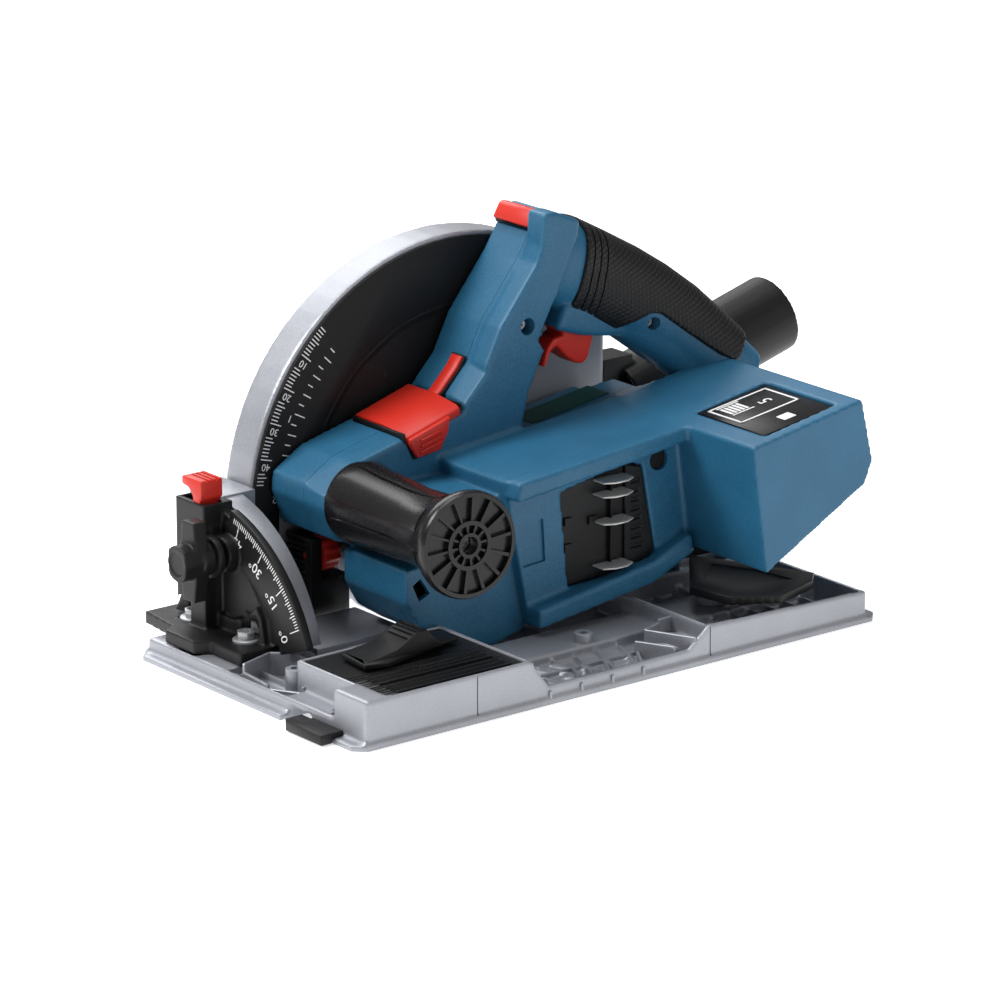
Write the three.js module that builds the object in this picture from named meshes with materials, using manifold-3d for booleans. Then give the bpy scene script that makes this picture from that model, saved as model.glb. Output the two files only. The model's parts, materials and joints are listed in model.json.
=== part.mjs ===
// Track plunge saw: a cordless circular saw that runs along a guide rail and plunges its blade.
// Millimetres. +X runs to the front of the saw, +Y to the motor side, +Z up.
// The origin is on the underside of the base plate, at the middle of the plate.
// The saw stands as it is when pushed down to full depth, with the nose over the depth stop.
import * as THREE from "three";
import { mergeVertices } from "three/addons/utils/BufferGeometryUtils.js";
import Module from "manifold-3d";

const wasm = await Module();
wasm.setup();

// ---------------------------------------------------------------- driving dimensions
const GAP = 0.3; // air between two pieces that touch
const BASE = { halfLength: 170.5, halfWidth: 94.4, floor: 3, wall: 2.5, chamfer: 6 };
const WALL = { front: 164, rear: -161.3, side: 92.8, tall: 25, low: 9.5, back: 17, rib: 10 };
const TRAY = { front: 150, rear: 62, far: 19, top: 24 }; // pocket for the front insert
const REAR_BLOCK = { front: -54.5, far: 4, top: 20 };
const GROOVE = { near: 48, far: 30, depth: 6 }; // the guide rail's rib runs in it
const BEVEL = { y: -95, z: -5, radius: 88, inner: 62 }; // tilt axis along X, at the cut line
const PLUNGE = { x: -101, z: 15, pin: 8 }; // plunge axis along Y
const GUARD = {
  x: -26.5, z: 62, radius: 133, far: -105.5, near: -84,
  front: 106.5, rear: -129, low: 12, skin: 2.2, rim: 3.5,
};
const BLADE = { radius: 70, thick: 1.8, y: -96, teeth: 42, bore: 10 };
const SPINDLE = { x: 28.6, z: 17 };
const COUNTER = { x: 15.63, z: 40.11 };
const MOTOR = { x: 35.85, z: 43.43, skin: 3, near: 15 };
const GEARS = { pinion: 5.5, wheel: 15, second: 13.5, arbor: 13, backlash: 0.15 };
const BODY = { far: -80, near: -34, split: -52, skin: 3, bay: 22, rail: 32 };
const POD = { far: -32, near: 84, skin: 3 }; // electronics housing behind the battery
const STUB = { x: 74, z: 80, y: -34, endX: 84, endZ: 84, endY: 72, flange: 27.5, bore: 4.5 };
const BOLT_Y = [-86, -40]; // bracket bolts along the base
const SEGMENTS = 32;

// ---------------------------------------------------------------- materials
const paint = (color, roughness, metalness = 0) =>
  new THREE.MeshStandardMaterial({ color, roughness, metalness });
const BLUE = paint(0x1f5a82, 0.55);
const BLACK = paint(0x15161a, 0.5);
const RUBBER = paint(0x101114, 0.8);
const RED = paint(0xd9271c, 0.4);
const CAST = paint(0x9da1a9, 0.45, 0.9);
const STEEL = paint(0xb4b6b8, 0.3, 1);
const COPPER = paint(0xb06a32, 0.4, 1);
const GLASS = paint(0x08090a, 0.1);
const BOARD = paint(0x17432a, 0.6);

// ---------------------------------------------------------------- solids
const PLANES = {
  // the two outline axes, then the extrusion axis
  xy: [[1, 0, 0], [0, 1, 0], [0, 0, 1]],
  xz: [[1, 0, 0], [0, 0, 1], [0, -1, 0]],
  yz: [[0, 1, 0], [0, 0, 1], [1, 0, 0]],
};

function toSolid(geometry) {
  const bare = geometry.index ? geometry.toNonIndexed() : geometry;
  bare.deleteAttribute("normal");
  bare.deleteAttribute("uv");
  const merged = mergeVertices(bare, 1e-4);
  const mesh = new wasm.Mesh({
    numProp: 3,
    vertProperties: merged.attributes.position.array,
    triVerts: new Uint32Array(merged.index.array),
  });
  return new wasm.Manifold(mesh);
}

function toGeometry(solid) {
  const mesh = solid.getMesh();
  const geometry = new THREE.BufferGeometry();
  geometry.setAttribute("position", new THREE.BufferAttribute(mesh.vertProperties, 3));
  geometry.setIndex(new THREE.BufferAttribute(mesh.triVerts, 1));
  geometry.computeVertexNormals();
  return geometry;
}

const vectors = (points) => points.map(([u, v]) => new THREE.Vector2(u, v));

// An outline in one of the planes, drawn out from one place to another along the third axis.
function prism(plane, outline, from, to, holes = []) {
  const shape = new THREE.Shape(vectors(outline));
  shape.holes = holes.map((hole) => new THREE.Path(vectors(hole)));
  const geometry = new THREE.ExtrudeGeometry(shape, { depth: to - from, bevelEnabled: false });
  const along = plane === "xz" ? -to : from;
  const [u, v, n] = PLANES[plane].map((axis) => new THREE.Vector3(...axis));
  geometry.translate(0, 0, along);
  geometry.applyMatrix4(new THREE.Matrix4().makeBasis(u, v, n));
  return toSolid(geometry);
}

function box(x0, x1, y0, y1, z0, z1) {
  const geometry = new THREE.BoxGeometry(x1 - x0, y1 - y0, z1 - z0);
  geometry.translate((x0 + x1) / 2, (y0 + y1) / 2, (z0 + z1) / 2);
  return toSolid(geometry);
}

// Points on a circle from one angle to another, in degrees.
function arc(u, v, radius, from, to, steps = SEGMENTS) {
  return Array.from({ length: steps + 1 }, (_, i) => {
    const angle = THREE.MathUtils.degToRad(from + ((to - from) * i) / steps);
    return [u + radius * Math.cos(angle), v + radius * Math.sin(angle)];
  });
}
const circle = (u, v, radius, steps = SEGMENTS) => arc(u, v, radius, 0, 360, steps).slice(0, -1);
const sector = (u, v, inner, outer, from, to, steps = 16) => [
  ...arc(u, v, outer, from, to, steps),
  ...arc(u, v, inner, to, from, steps),
];
const disc = (plane, u, v, radius, from, to, bore = 0, steps = SEGMENTS) =>
  prism(plane, circle(u, v, radius, steps), from, to, bore ? [circle(u, v, bore, steps)] : []);
const union = (...solids) => solids.reduce((sum, solid) => sum.add(solid));
const cut = (solid, ...tools) => tools.reduce((left, tool) => left.subtract(tool), solid);
const hull = (solids) => wasm.Manifold.hull(solids);

// A toothed wheel with its teeth cut inwards, so that its tips stay on the given radius.
function wheel(x, z, radius, teeth, from, to, bore) {
  const depth = 1.6;
  const outline = [];
  for (let i = 0; i < teeth; i++) {
    const step = 360 / teeth;
    outline.push(...arc(x, z, radius, i * step, (i + 0.4) * step, 1));
    outline.push(...arc(x, z, radius - depth, (i + 0.6) * step, (i + 0.9) * step, 1));
  }
  return prism("xz", outline, from, to, [circle(x, z, bore, 20)]);
}

// A solid swept along a curve with an oval section.
function sweep(points, halfWide, halfTall, steps = 10) {
  const curve = new THREE.CatmullRomCurve3(points.map((p) => new THREE.Vector3(...p)));
  const oval = arc(0, 0, 1, 0, 360, 16).slice(0, -1).map(([u, v]) => [u * halfTall, v * halfWide]);
  const shape = new THREE.Shape(vectors(oval));
  const options = { steps, extrudePath: curve, bevelEnabled: false };
  return toSolid(new THREE.ExtrudeGeometry(shape, options));
}

// ---------------------------------------------------------------- the scene graph
const root = new THREE.Group();
function frame(parent, x, y, z) {
  const group = new THREE.Group();
  group.origin = new THREE.Vector3(x, y, z);
  group.position.copy(group.origin);
  if (parent.origin) group.position.sub(parent.origin);
  parent.add(group);
  return group;
}
function part(group, name, solid, material) {
  const geometry = toGeometry(solid);
  if (group.origin) geometry.translate(...group.origin.clone().negate().toArray());
  const mesh = new THREE.Mesh(geometry, material);
  mesh.name = name;
  group.add(mesh);
}
const base = frame(root, 0, 0, 0);
const guard = frame(base, 0, BEVEL.y, BEVEL.z);
const unit = frame(guard, PLUNGE.x, 0, PLUNGE.z);
const arbor = frame(unit, SPINDLE.x, 0, SPINDLE.z);
const counter = frame(unit, COUNTER.x, 0, COUNTER.z);
const rotor = frame(unit, MOTOR.x, 0, MOTOR.z);

// ---------------------------------------------------------------- base plate
const END = { front: 128, back: -130.5 }; // where the bevel brackets start

function basePlate() {
  const { halfLength: l, halfWidth: w, chamfer: c, floor, wall } = BASE;
  const corner = [
    [l, w - c], [l - c, w], [c - l, w], [-l, w - c],
    [-l, c - w], [c - l, -w], [l - c, -w], [l, c - w],
  ];
  const flange = prism("xy", corner, 0, floor);
  const low = floor - 1; // the walls grow out of the floor
  const sideProfile = [
    [WALL.rear, low], [WALL.front, low], [WALL.front, WALL.tall], [TRAY.rear, WALL.tall],
    [50, WALL.low], [-41, WALL.low], [REAR_BLOCK.front, REAR_BLOCK.top], [WALL.rear, WALL.back],
  ];
  const nearWall = prism("xz", sideProfile, WALL.side - wall, WALL.side);
  const frontWall = box(WALL.front - wall, WALL.front, -WALL.side, 67, low, WALL.rib);
  const rearWall = union(
    box(WALL.rear, WALL.rear + wall, -WALL.side, WALL.side, low, WALL.rib),
    box(WALL.rear, WALL.rear + wall, -22, WALL.side, low, WALL.back)
  );
  const frontBlock = box(TRAY.front, WALL.front, 66, WALL.side, low, WALL.tall);
  const tray = [
    box(TRAY.front - wall, TRAY.front, TRAY.far - wall, WALL.side, low, TRAY.top),
    box(TRAY.rear - wall, TRAY.rear, TRAY.far - wall, WALL.side, low, TRAY.top),
    box(TRAY.rear - wall, TRAY.front, TRAY.far - wall, TRAY.far, low, TRAY.top),
  ];
  const back = [
    box(REAR_BLOCK.front - wall, REAR_BLOCK.front, REAR_BLOCK.far, WALL.side, low, REAR_BLOCK.top - 1),
    box(WALL.rear, REAR_BLOCK.front, REAR_BLOCK.far - wall, REAR_BLOCK.far, low, WALL.back - 1),
  ];
  const channel = box(WALL.rear, WALL.front, GROOVE.far - 6, GROOVE.near + 6, low, WALL.low);
  const seats = [END.front + 4, END.back - 34].map((x) =>
    union(...BOLT_Y.map((y) => box(x, x + 30, Math.max(y - 14, -WALL.side), y + 14, low, WALL.rib)))
  );
  const ribs = [-110, -75, -14, 120].map((x) => box(x, x + wall, -60, GROOVE.far, low, 7));
  const walls = [flange, nearWall, frontWall, rearWall, frontBlock, channel];
  const solid = union(...walls, ...tray, ...back, ...seats, ...ribs);
  const groove = box(-l - 1, l + 1, GROOVE.far, GROOVE.near, -1, GROOVE.depth);
  const gearWindow = box(-8, 86, -w - 1, -38, -1, 40);
  const holes = [END.front + 12, END.back - 12].flatMap((x) =>
    BOLT_Y.map((y) => disc("xy", x, y, 2.6, 4, 30, 0, 16))
  );
  return cut(solid, groove, gearWindow, ...holes);
}
part(base, "base_plate", basePlate(), CAST);

// ---------------------------------------------------------------- bevel brackets
// Each bracket stands on the base, carries the angle scale and clamps the guard's segment.
function bracket(inside, outside, tower) {
  const out = Math.sign(outside - inside);
  const span = (from, to) => [inside + out * from, inside + out * to].sort((a, b) => a - b);
  const { y, z } = BEVEL;
  const { depth, top, knobY, knobZ, faceIn, faceOut, faceLow, back, postNear } = tower;
  const footOutline = [[0, -112], [24, -112], [27, -84], [34, -80], [34, -55], [27, -50], [27, -24], [0, -24]];
  const footPlan = footOutline.map(([u, v]) => [inside + out * u, v]);
  const foot = prism("xy", footPlan, WALL.rib + GAP, WALL.rib + 7);
  const face = prism("yz", sector(y, z, faceIn, faceOut, faceLow, 74), ...span(0, 6));
  const web = prism("yz", tower.web, ...span(5, 10));
  const post = box(...span(0, depth), back, postNear, WALL.rib + GAP, top);
  const collar = disc("yz", knobY, knobZ, 15, ...span(5, depth - 4));
  const boss = disc("yz", knobY, knobZ, 11, ...span(depth - 1, depth + 3));
  const solid = union(foot, face, web, post, collar, boss);
  const stud = disc("yz", knobY, knobZ, 4 + GAP, ...span(depth - 14, depth + 4), 0, 16);
  const bolts = BOLT_Y.map((by) => {
    const bx = inside + out * 12;
    return union(disc("xy", bx, by, 2.6, 5, 30, 0, 16), disc("xy", bx, by, 8, WALL.rib + 7, 30));
  });
  const slot = box(...span(5, 15), back + 2, postNear - 2, top - 10, top + 1);
  return cut(solid, stud, ...bolts, ...(tower.slot ? [slot] : []));
}
const FRONT_TOWER = {
  depth: 18, top: 85, back: -92, postNear: -67, slot: true,
  knobY: -60, knobZ: 58, faceIn: 60, faceOut: 87, faceLow: 17,
  web: [[-108, 12], [-26, 12], [-30, 30], [-46, 52], [-62, 62], [-90, 70], [-96, 34]],
};
const REAR_TOWER = {
  depth: 24, top: 52, back: -80, postNear: -45, slot: false,
  knobY: -62, knobZ: 42, faceIn: 40, faceOut: 63, faceLow: 25,
  web: [[-108, 12], [-26, 12], [-30, 30], [-46, 46], [-62, 50], [-78, 50], [-96, 26]],
};

function wingKnob(face, out, tower) {
  const span = (from, to) => [face + out * from, face + out * to].sort((a, b) => a - b);
  const { knobY: y, knobZ: z } = tower;
  const hub = disc("yz", y, z, 9, ...span(3 + GAP, 10));
  const blade = [[y - 5, z - 21], [y + 5, z - 21], [y + 8, z], [y + 5, z + 21], [y - 5, z + 21], [y - 8, z]];
  const wing = prism("yz", blade, ...span(7, 22));
  const shank = disc("yz", y, z, 4, ...span(-13, 4), 0, 16);
  return union(hub, wing, shank);
}
function undercutSlide(from, to, top) {
  const stem = box(from, to, -83, -71, top - 9.5, top + 8);
  const claw = box(from - 3, to + 3, -88, -70, top + GAP, top + 12);
  return union(stem, claw);
}
for (const [name, inside, out, tower] of [
  ["front", END.front, 1, FRONT_TOWER],
  ["rear", END.back, -1, REAR_TOWER],
]) {
  part(base, `${name}_bevel_bracket`, bracket(inside, inside + out * 34, tower), BLACK);
  const face = inside + out * tower.depth;
  part(frame(base, face, tower.knobY, tower.knobZ), `${name}_wing_knob`, wingKnob(face, out, tower), BLACK);
  const [x0, x1] = [inside + out * 6, inside + out * 14].sort((a, b) => a - b);
  if (tower.slot) part(frame(base, 0, 0, 0), "undercut_slide", undercutSlide(x0, x1, tower.top), RED);
  BOLT_Y.forEach((y, i) => {
    const x = inside + out * 12;
    const head = disc("xy", x, y, 5, WALL.rib + 8.5, WALL.rib + 12.5, 0, 6);
    const washer = disc("xy", x, y, 7, WALL.rib + 7 + GAP, WALL.rib + 9);
    const shank = disc("xy", x, y, 2.3, 5.5, WALL.rib + 9, 0, 12);
    part(base, `${name}_bracket_bolt_${i + 1}`, union(head, washer, shank), STEEL);
  });
}

// ---------------------------------------------------------------- base inserts and rail clamps
function frontInsert() {
  const skin = BASE.wall + GAP;
  const slab = box(TRAY.rear + GAP, TRAY.front - skin, TRAY.far + GAP, WALL.side - skin, 12, TRAY.top - 1);
  const ribs = [60, 65, 70, 75, 80, 85].map((y) => box(70, 140, y, y + 2, 22, TRAY.top));
  return cut(union(slab, ...ribs), disc("xy", 78, 36, 3 + GAP, 10, 30, 0, 16));
}
part(base, "front_insert", frontInsert(), BLACK);

function railLever() {
  const pin = disc("xy", 78, 36, 3, 13, 26, 0, 16);
  const plate = [[70, 28], [120, 26], [132, 30], [134, 52], [122, 56], [84, 46], [70, 44]];
  const scoop = prism("xz", [[84, 26], [128, 26], [130, 27], [112, 30], [100, 36], [94, 37], [86, 29]], 30, 50);
  return union(pin, prism("xy", plate, TRAY.top + GAP, 27), scoop);
}
part(frame(base, 78, 36, 0), "front_rail_lever", railLever(), BLACK);

function rearRailPlate() {
  const teeth = Array.from({ length: 13 }, (_, i) => [-82 - i * 2.1, 74 + i * 1.25 + (i % 2) * 1.6]);
  const outline = [[-78, 49], ...teeth, [-134, 81], [-144, 71], [-113, 7]];
  const plate = prism("xy", outline, REAR_BLOCK.top + GAP, REAR_BLOCK.top + 5);
  return union(plate, disc("xy", -100, 40, 4, 11, REAR_BLOCK.top + 1, 0, 16));
}
part(frame(base, -100, 40, 0), "rear_rail_plate", rearRailPlate(), BLACK);
const socket = cut(
  disc("xy", -100, 40, 8, WALL.low + GAP, REAR_BLOCK.top),
  disc("xy", -100, 40, 4 + GAP, 9, 30, 0, 16)
);
part(base, "rear_plate_socket", socket, CAST);
const lip = box(BASE.halfLength + GAP, 178, 45, 75, 0.5, 6);
part(base, "nose_insert", union(lip, box(WALL.front + GAP, 178, 50, 75, BASE.floor + GAP, 6)), BLACK);

// ---------------------------------------------------------------- guard
const guardOutline = (inset, low = GUARD.low) => {
  const r = GUARD.radius - inset;
  const rear = GUARD.rear + inset;
  const turn = THREE.MathUtils.radToDeg(Math.acos((rear - GUARD.x) / r));
  return [[GUARD.front - inset, low], ...arc(GUARD.x, GUARD.z, r, 0, turn, 28), [rear, low]];
};
// The neck of the gear case swings in this slot in the near wall.
const swing = (y0, y1) => prism("xz", sector(PLUNGE.x, PLUNGE.z, 114, 146, -14, 36), y0, y1);

function guardShell() {
  const { far, near, skin, rim } = GUARD;
  const shell = prism("xz", guardOutline(0), far, near);
  const hollow = prism("xz", guardOutline(rim, GUARD.low - 1), far + skin, near - skin);
  const chute = box(GUARD.rear - 1, GUARD.rear + 8, -102, -87, 66, 104);
  const bearing = disc("xz", PLUNGE.x, PLUNGE.z, 3, near - 9, near + 1, 0, 16);
  return cut(shell, hollow, swing(near - skin - 1, near + 1), chute, bearing);
}
part(guard, "guard_shell", guardShell(), CAST);

function scalePlate() {
  const { x, z, near } = GUARD;
  const outline = [[104, 16], ...arc(x, z, 131, 0, 112, 24), ...arc(x, z, 96, 112, 6, 22), [88, 66], [88, 16]];
  return prism("xz", outline, near + GAP, near + 2);
}
part(guard, "depth_scale_plate", scalePlate(), BLACK);

// Curved segments in line with the brackets; the tilt scale reads against the front one.
function segment(from, to, inner, outer, high, ...stem) {
  const band = prism("yz", sector(BEVEL.y, BEVEL.z, inner, outer, 15, high), from, to);
  return union(band, box(...stem));
}
const frontSegment = segment(115, END.front - GAP * 2, BEVEL.inner, BEVEL.radius, 78,
  GUARD.front + GAP, END.front - GAP * 2, GUARD.far, GUARD.near + 7, GUARD.low, 82);
const rearSegment = segment(END.back + GAP * 2, -118, 42, 64, 73,
  END.back + GAP * 2, -118, GUARD.near + GAP, -70, GUARD.low, 57);
part(guard, "front_bevel_segment", frontSegment, CAST);
part(guard, "rear_bevel_segment", rearSegment, CAST);
// The floor between the front segment and the motor, with a hollow curve up to the scale plate.
const skirtProfile = [[-81.7, 11], [-14, 11], [-14, 14], [-56, 14], [-68, 18], [-76, 27], [-79.2, 40], [-81.7, 40]];
const stemRoom = box(GUARD.front, 116, -90, GUARD.near + 7 + GAP, 0, 50);
const besideStop = box(58, 88, -58, -14, 11, 14);
const skirt = cut(union(prism("yz", skirtProfile, 87, 115 - GAP), besideStop), stemRoom);
part(guard, "guard_skirt", skirt, CAST);

function dustPort() {
  const pipe = (radius, length) => {
    const geometry = new THREE.CylinderGeometry(radius, radius, length, 36);
    geometry.rotateZ(Math.PI / 2).rotateY(THREE.MathUtils.degToRad(16));
    return toSolid(geometry.translate(-203, -94, 96.5));
  };
  const tube = pipe(22, 112);
  const bore = pipe(19, 116);
  const collar = box(GUARD.rear - 22, GUARD.rear - GAP, -104, -85.5, 62, 108);
  const mouth = box(GUARD.rear - 19, GUARD.rear + 1, -101.5, -88, 68, 102);
  return cut(union(tube, collar), bore, mouth);
}
part(guard, "dust_port", dustPort(), BLACK);

const pin = union(
  disc("xz", PLUNGE.x, PLUNGE.z, PLUNGE.pin, GUARD.near + GAP, -64),
  disc("xz", PLUNGE.x, PLUNGE.z, 2.7, GUARD.near - 8, GUARD.near + 1, 0, 16)
);
part(guard, "plunge_pin", pin, STEEL);

// The return spring's coils round the pin, as one closed sleeve.
const spring = disc("xz", PLUNGE.x, PLUNGE.z, 11, -71.4, -65, PLUNGE.pin + 1);
part(guard, "plunge_spring", spring, STEEL);

// ---------------------------------------------------------------- depth stop
const stopFrame = frame(guard, PLUNGE.x, 0, PLUNGE.z);
const WHEEL = { x: 67, y: -67, z: 44.5, radius: 9.8, width: 10 };
function depthStop() {
  const plate = box(60, 84, -81.6, -78, 8, 54);
  const foot = box(60, 84, -79, -60, 8, 32);
  const cheek = box(WHEEL.x + WHEEL.width + 0.5, 84, -79, -60, 30, 54);
  const bore = disc("yz", WHEEL.y, WHEEL.z, 2 + GAP, 76, 85, 0, 16);
  return cut(union(plate, foot, cheek), bore);
}
part(stopFrame, "depth_stop", depthStop(), BLACK);
function depthWheel() {
  const { x, y, z, radius, width } = WHEEL;
  const outline = [];
  for (let i = 0; i < 24; i++) outline.push(...arc(y, z, i % 2 ? radius : radius - 0.8, i * 15, i * 15 + 8, 1));
  return union(prism("yz", outline, x, x + width), disc("yz", y, z, 2, x + 1, 83, 0, 12));
}
part(frame(stopFrame, 0, WHEEL.y, WHEEL.z), "depth_wheel", depthWheel(), RED);

// ---------------------------------------------------------------- drive
function gearCase() {
  const lump = (grow, y0, y1) =>
    hull([
      disc("xz", SPINDLE.x, SPINDLE.z, 15.6 - grow, y0, y1),
      disc("xz", COUNTER.x, COUNTER.z, 18 - grow, y0, y1),
      disc("xz", MOTOR.x, MOTOR.z, 20 - grow, y0, y1),
    ]);
  const neck = disc("xz", SPINDLE.x, SPINDLE.z, 13, -90, -80);
  const arm = hull([
    disc("xz", PLUNGE.x, PLUNGE.z, 11, -82, -72),
    disc("xz", 12, 34, 12, -82, -72),
  ]);
  const solid = union(lump(0, -82, -42), neck, arm);
  const gears = lump(2, -76, -41);
  const spindleBore = disc("xz", SPINDLE.x, SPINDLE.z, 10.3, -91, -70);
  const pinBore = disc("xz", PLUNGE.x, PLUNGE.z, PLUNGE.pin + 0.2, -90, -60);
  return cut(solid, gears, spindleBore, pinBore);
}
part(unit, "gear_case", gearCase(), CAST);
part(unit, "spindle_bearing", disc("xz", SPINDLE.x, SPINDLE.z, 10, -86, -78, 6 + GAP), STEEL);

function sawBlade() {
  const { radius, teeth, y, thick, bore } = BLADE;
  const outline = [];
  for (let i = 0; i < teeth; i++) {
    const step = 360 / teeth;
    outline.push(...arc(SPINDLE.x, SPINDLE.z, radius, i * step, i * step, 1).slice(1));
    outline.push(...arc(SPINDLE.x, SPINDLE.z, radius - 4.5, (i + 0.25) * step, (i + 0.5) * step, 1));
  }
  return prism("xz", outline, y - thick / 2, y + thick / 2, [circle(SPINDLE.x, SPINDLE.z, bore)]);
}
const bladeFace = BLADE.y + BLADE.thick / 2;
const bladeBack = BLADE.y - BLADE.thick / 2;
const at = (r, y0, y1, bore = 0, n = SEGMENTS) => disc("xz", SPINDLE.x, SPINDLE.z, r, y0, y1, bore, n);
part(arbor, "saw_blade", sawBlade(), STEEL);
const shaft = union(at(6, -94.5, -46), at(9.6, bladeBack + 0.1, -94.4));
part(arbor, "spindle", cut(shaft, at(3 + GAP, -98, -84, 0, 16)), STEEL);
part(arbor, "inner_flange", at(14, bladeFace + GAP, -91.2, 6 + GAP).subtract(at(9.9, -95.2, -94.2)), STEEL);
part(arbor, "outer_flange", at(14, bladeBack - 2.8, bladeBack - GAP, 3 + GAP), STEEL);
part(arbor, "blade_bolt", union(at(6, -103, bladeBack - 2.8 - GAP, 0, 6), at(3, -101, -85, 0, 12)), STEEL);
const arborRadius = GEARS.arbor - GEARS.backlash;
part(arbor, "arbor_gear", wheel(SPINDLE.x, SPINDLE.z, arborRadius, 26, -74, -64, 6 + GAP), STEEL);

const onCounter = (r, y0, y1) => disc("xz", COUNTER.x, COUNTER.z, r, y0, y1, 0, 20);
const counterGear = wheel(COUNTER.x, COUNTER.z, GEARS.second - GEARS.backlash, 27, -74, -64, 4 + GAP);
const counterWheel = wheel(COUNTER.x, COUNTER.z, GEARS.wheel - GEARS.backlash, 30, -60, -50, 4 + GAP);
part(counter, "counter_shaft", onCounter(4, -75.5, -48), STEEL);
part(counter, "counter_gear", counterGear, STEEL);
part(counter, "counter_wheel", counterWheel, STEEL);

const onMotor = (r, y0, y1, bore = 0, n = SEGMENTS) => disc("xz", MOTOR.x, MOTOR.z, r, y0, y1, bore, n);
function fan() {
  const blades = Array.from({ length: 9 }, (_, i) =>
    box(9, 23.5, -0.8, 0.8, 0, 6).rotate([0, 0, i * 40]).rotate([90, 0, 0]).translate([MOTOR.x, 5.5, MOTOR.z])
  );
  return union(onMotor(24, 5, 6.5, 3 + GAP), ...blades);
}
part(rotor, "rotor_shaft", onMotor(3, -62, 12, 0, 20), STEEL);
part(rotor, "pinion", wheel(MOTOR.x, MOTOR.z, GEARS.pinion - GEARS.backlash, 11, -60, -50, 3 + GAP), STEEL);
part(rotor, "rotor_core", onMotor(14, -32, -4, 3 + GAP), STEEL);
part(rotor, "cooling_fan", fan(), BLACK);
part(unit, "stator", onMotor(25.2, -34, -2, 15), COPPER);
part(unit, "rotor_bearing", onMotor(9, -41, -36, 3 + GAP), STEEL);

// ---------------------------------------------------------------- housing
// Outline of nose, column and body seen from the motor side, starting under the nose.
const BODY_OUTLINE = [
  [73, 56], [88, 61], [95, 79], [94, 89], [76, 100], [40, 109], [15, 114], [5, 119], [-10, 135],
  [-20, 155], [-44, 185], [-53, 199], [-50, 208], [-67, 206], [-84, 194], [-71, 144], [-48, 138],
  [-38, 118], [-33, 98], [-40, 93], [-60, 93], [-112, 101], [-126, 102], [-126, 84], [-98, 66], [60, 66],
];
const MOTOR_OUTLINE = [
  [52, 84], [52, 76], [56, 64], [64, 58], [74, 56], [80, 55], [80, 38], [72, 24], [57, 14], [44, 9],
  [24, 5], [4, 10], [-4, 26], [-2, 60], [18, 84],
];
const CONTACTS = [[-14, 81], [-58, 89], [-68, 86], [-77, 38], [-68, 31], [-19, 29]];
const POD_OUTLINE = [[-90, 105], [-100, 36], [-167, 72], [-172, 84], [-164, 118]];

// The same outline drawn in towards its middle.
function inset(outline, by) {
  const points = vectors(outline);
  const area = THREE.ShapeUtils.area(points);
  const side = Math.sign(area) * by;
  return points.map((point, i) => {
    const before = points[(i + points.length - 1) % points.length];
    const after = points[(i + 1) % points.length];
    const a = point.clone().sub(before).normalize();
    const b = after.clone().sub(point).normalize();
    const turn = new THREE.Vector2(-a.y - b.y, a.x + b.x).normalize();
    const reach = side / Math.max(0.5, turn.dot(new THREE.Vector2(-a.y, a.x)));
    return point.clone().addScaledVector(turn, reach).toArray();
  });
}

const HANDLE_PATH = [[-58, -54, 184], [-88, -53, 170], [-124, -47, 150], [-152, -41, 128], [-177, -34, 106]];
const BUTTON = [[-49.5, 200.5], [-54, 208.5], [-59.5, 207.5], [-58, 197.5]];
const TRIGGER = [[-72, 134], [-76, 146], [-100, 136], [-97, 121], [-88, 118], [-77, 124]];
const buttonPocket = prism("xz", [[-44, 193.5], [-44, 216], [-62, 216], [-60.5, 191]], -81, -49);
const leverPocket = prism("xz", [[44, 104.5], [44, 125], [4, 128], [4, 114.5]], -78, BODY.near + 1);

function columnRight() {
  const shell = prism("xz", BODY_OUTLINE, BODY.far, BODY.split - GAP / 2);
  const hollow = prism("xz", inset(BODY_OUTLINE, BODY.skin), BODY.far + BODY.skin, BODY.split + 1);
  // Room for the dust port when the saw is raised.
  const portRoom = box(-130, -105, BODY.far - 1, -71.5, 80, 106);
  return cut(shell, hollow, buttonPocket, leverPocket, portRoom);
}
part(unit, "housing_right", columnRight(), BLUE);

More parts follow.
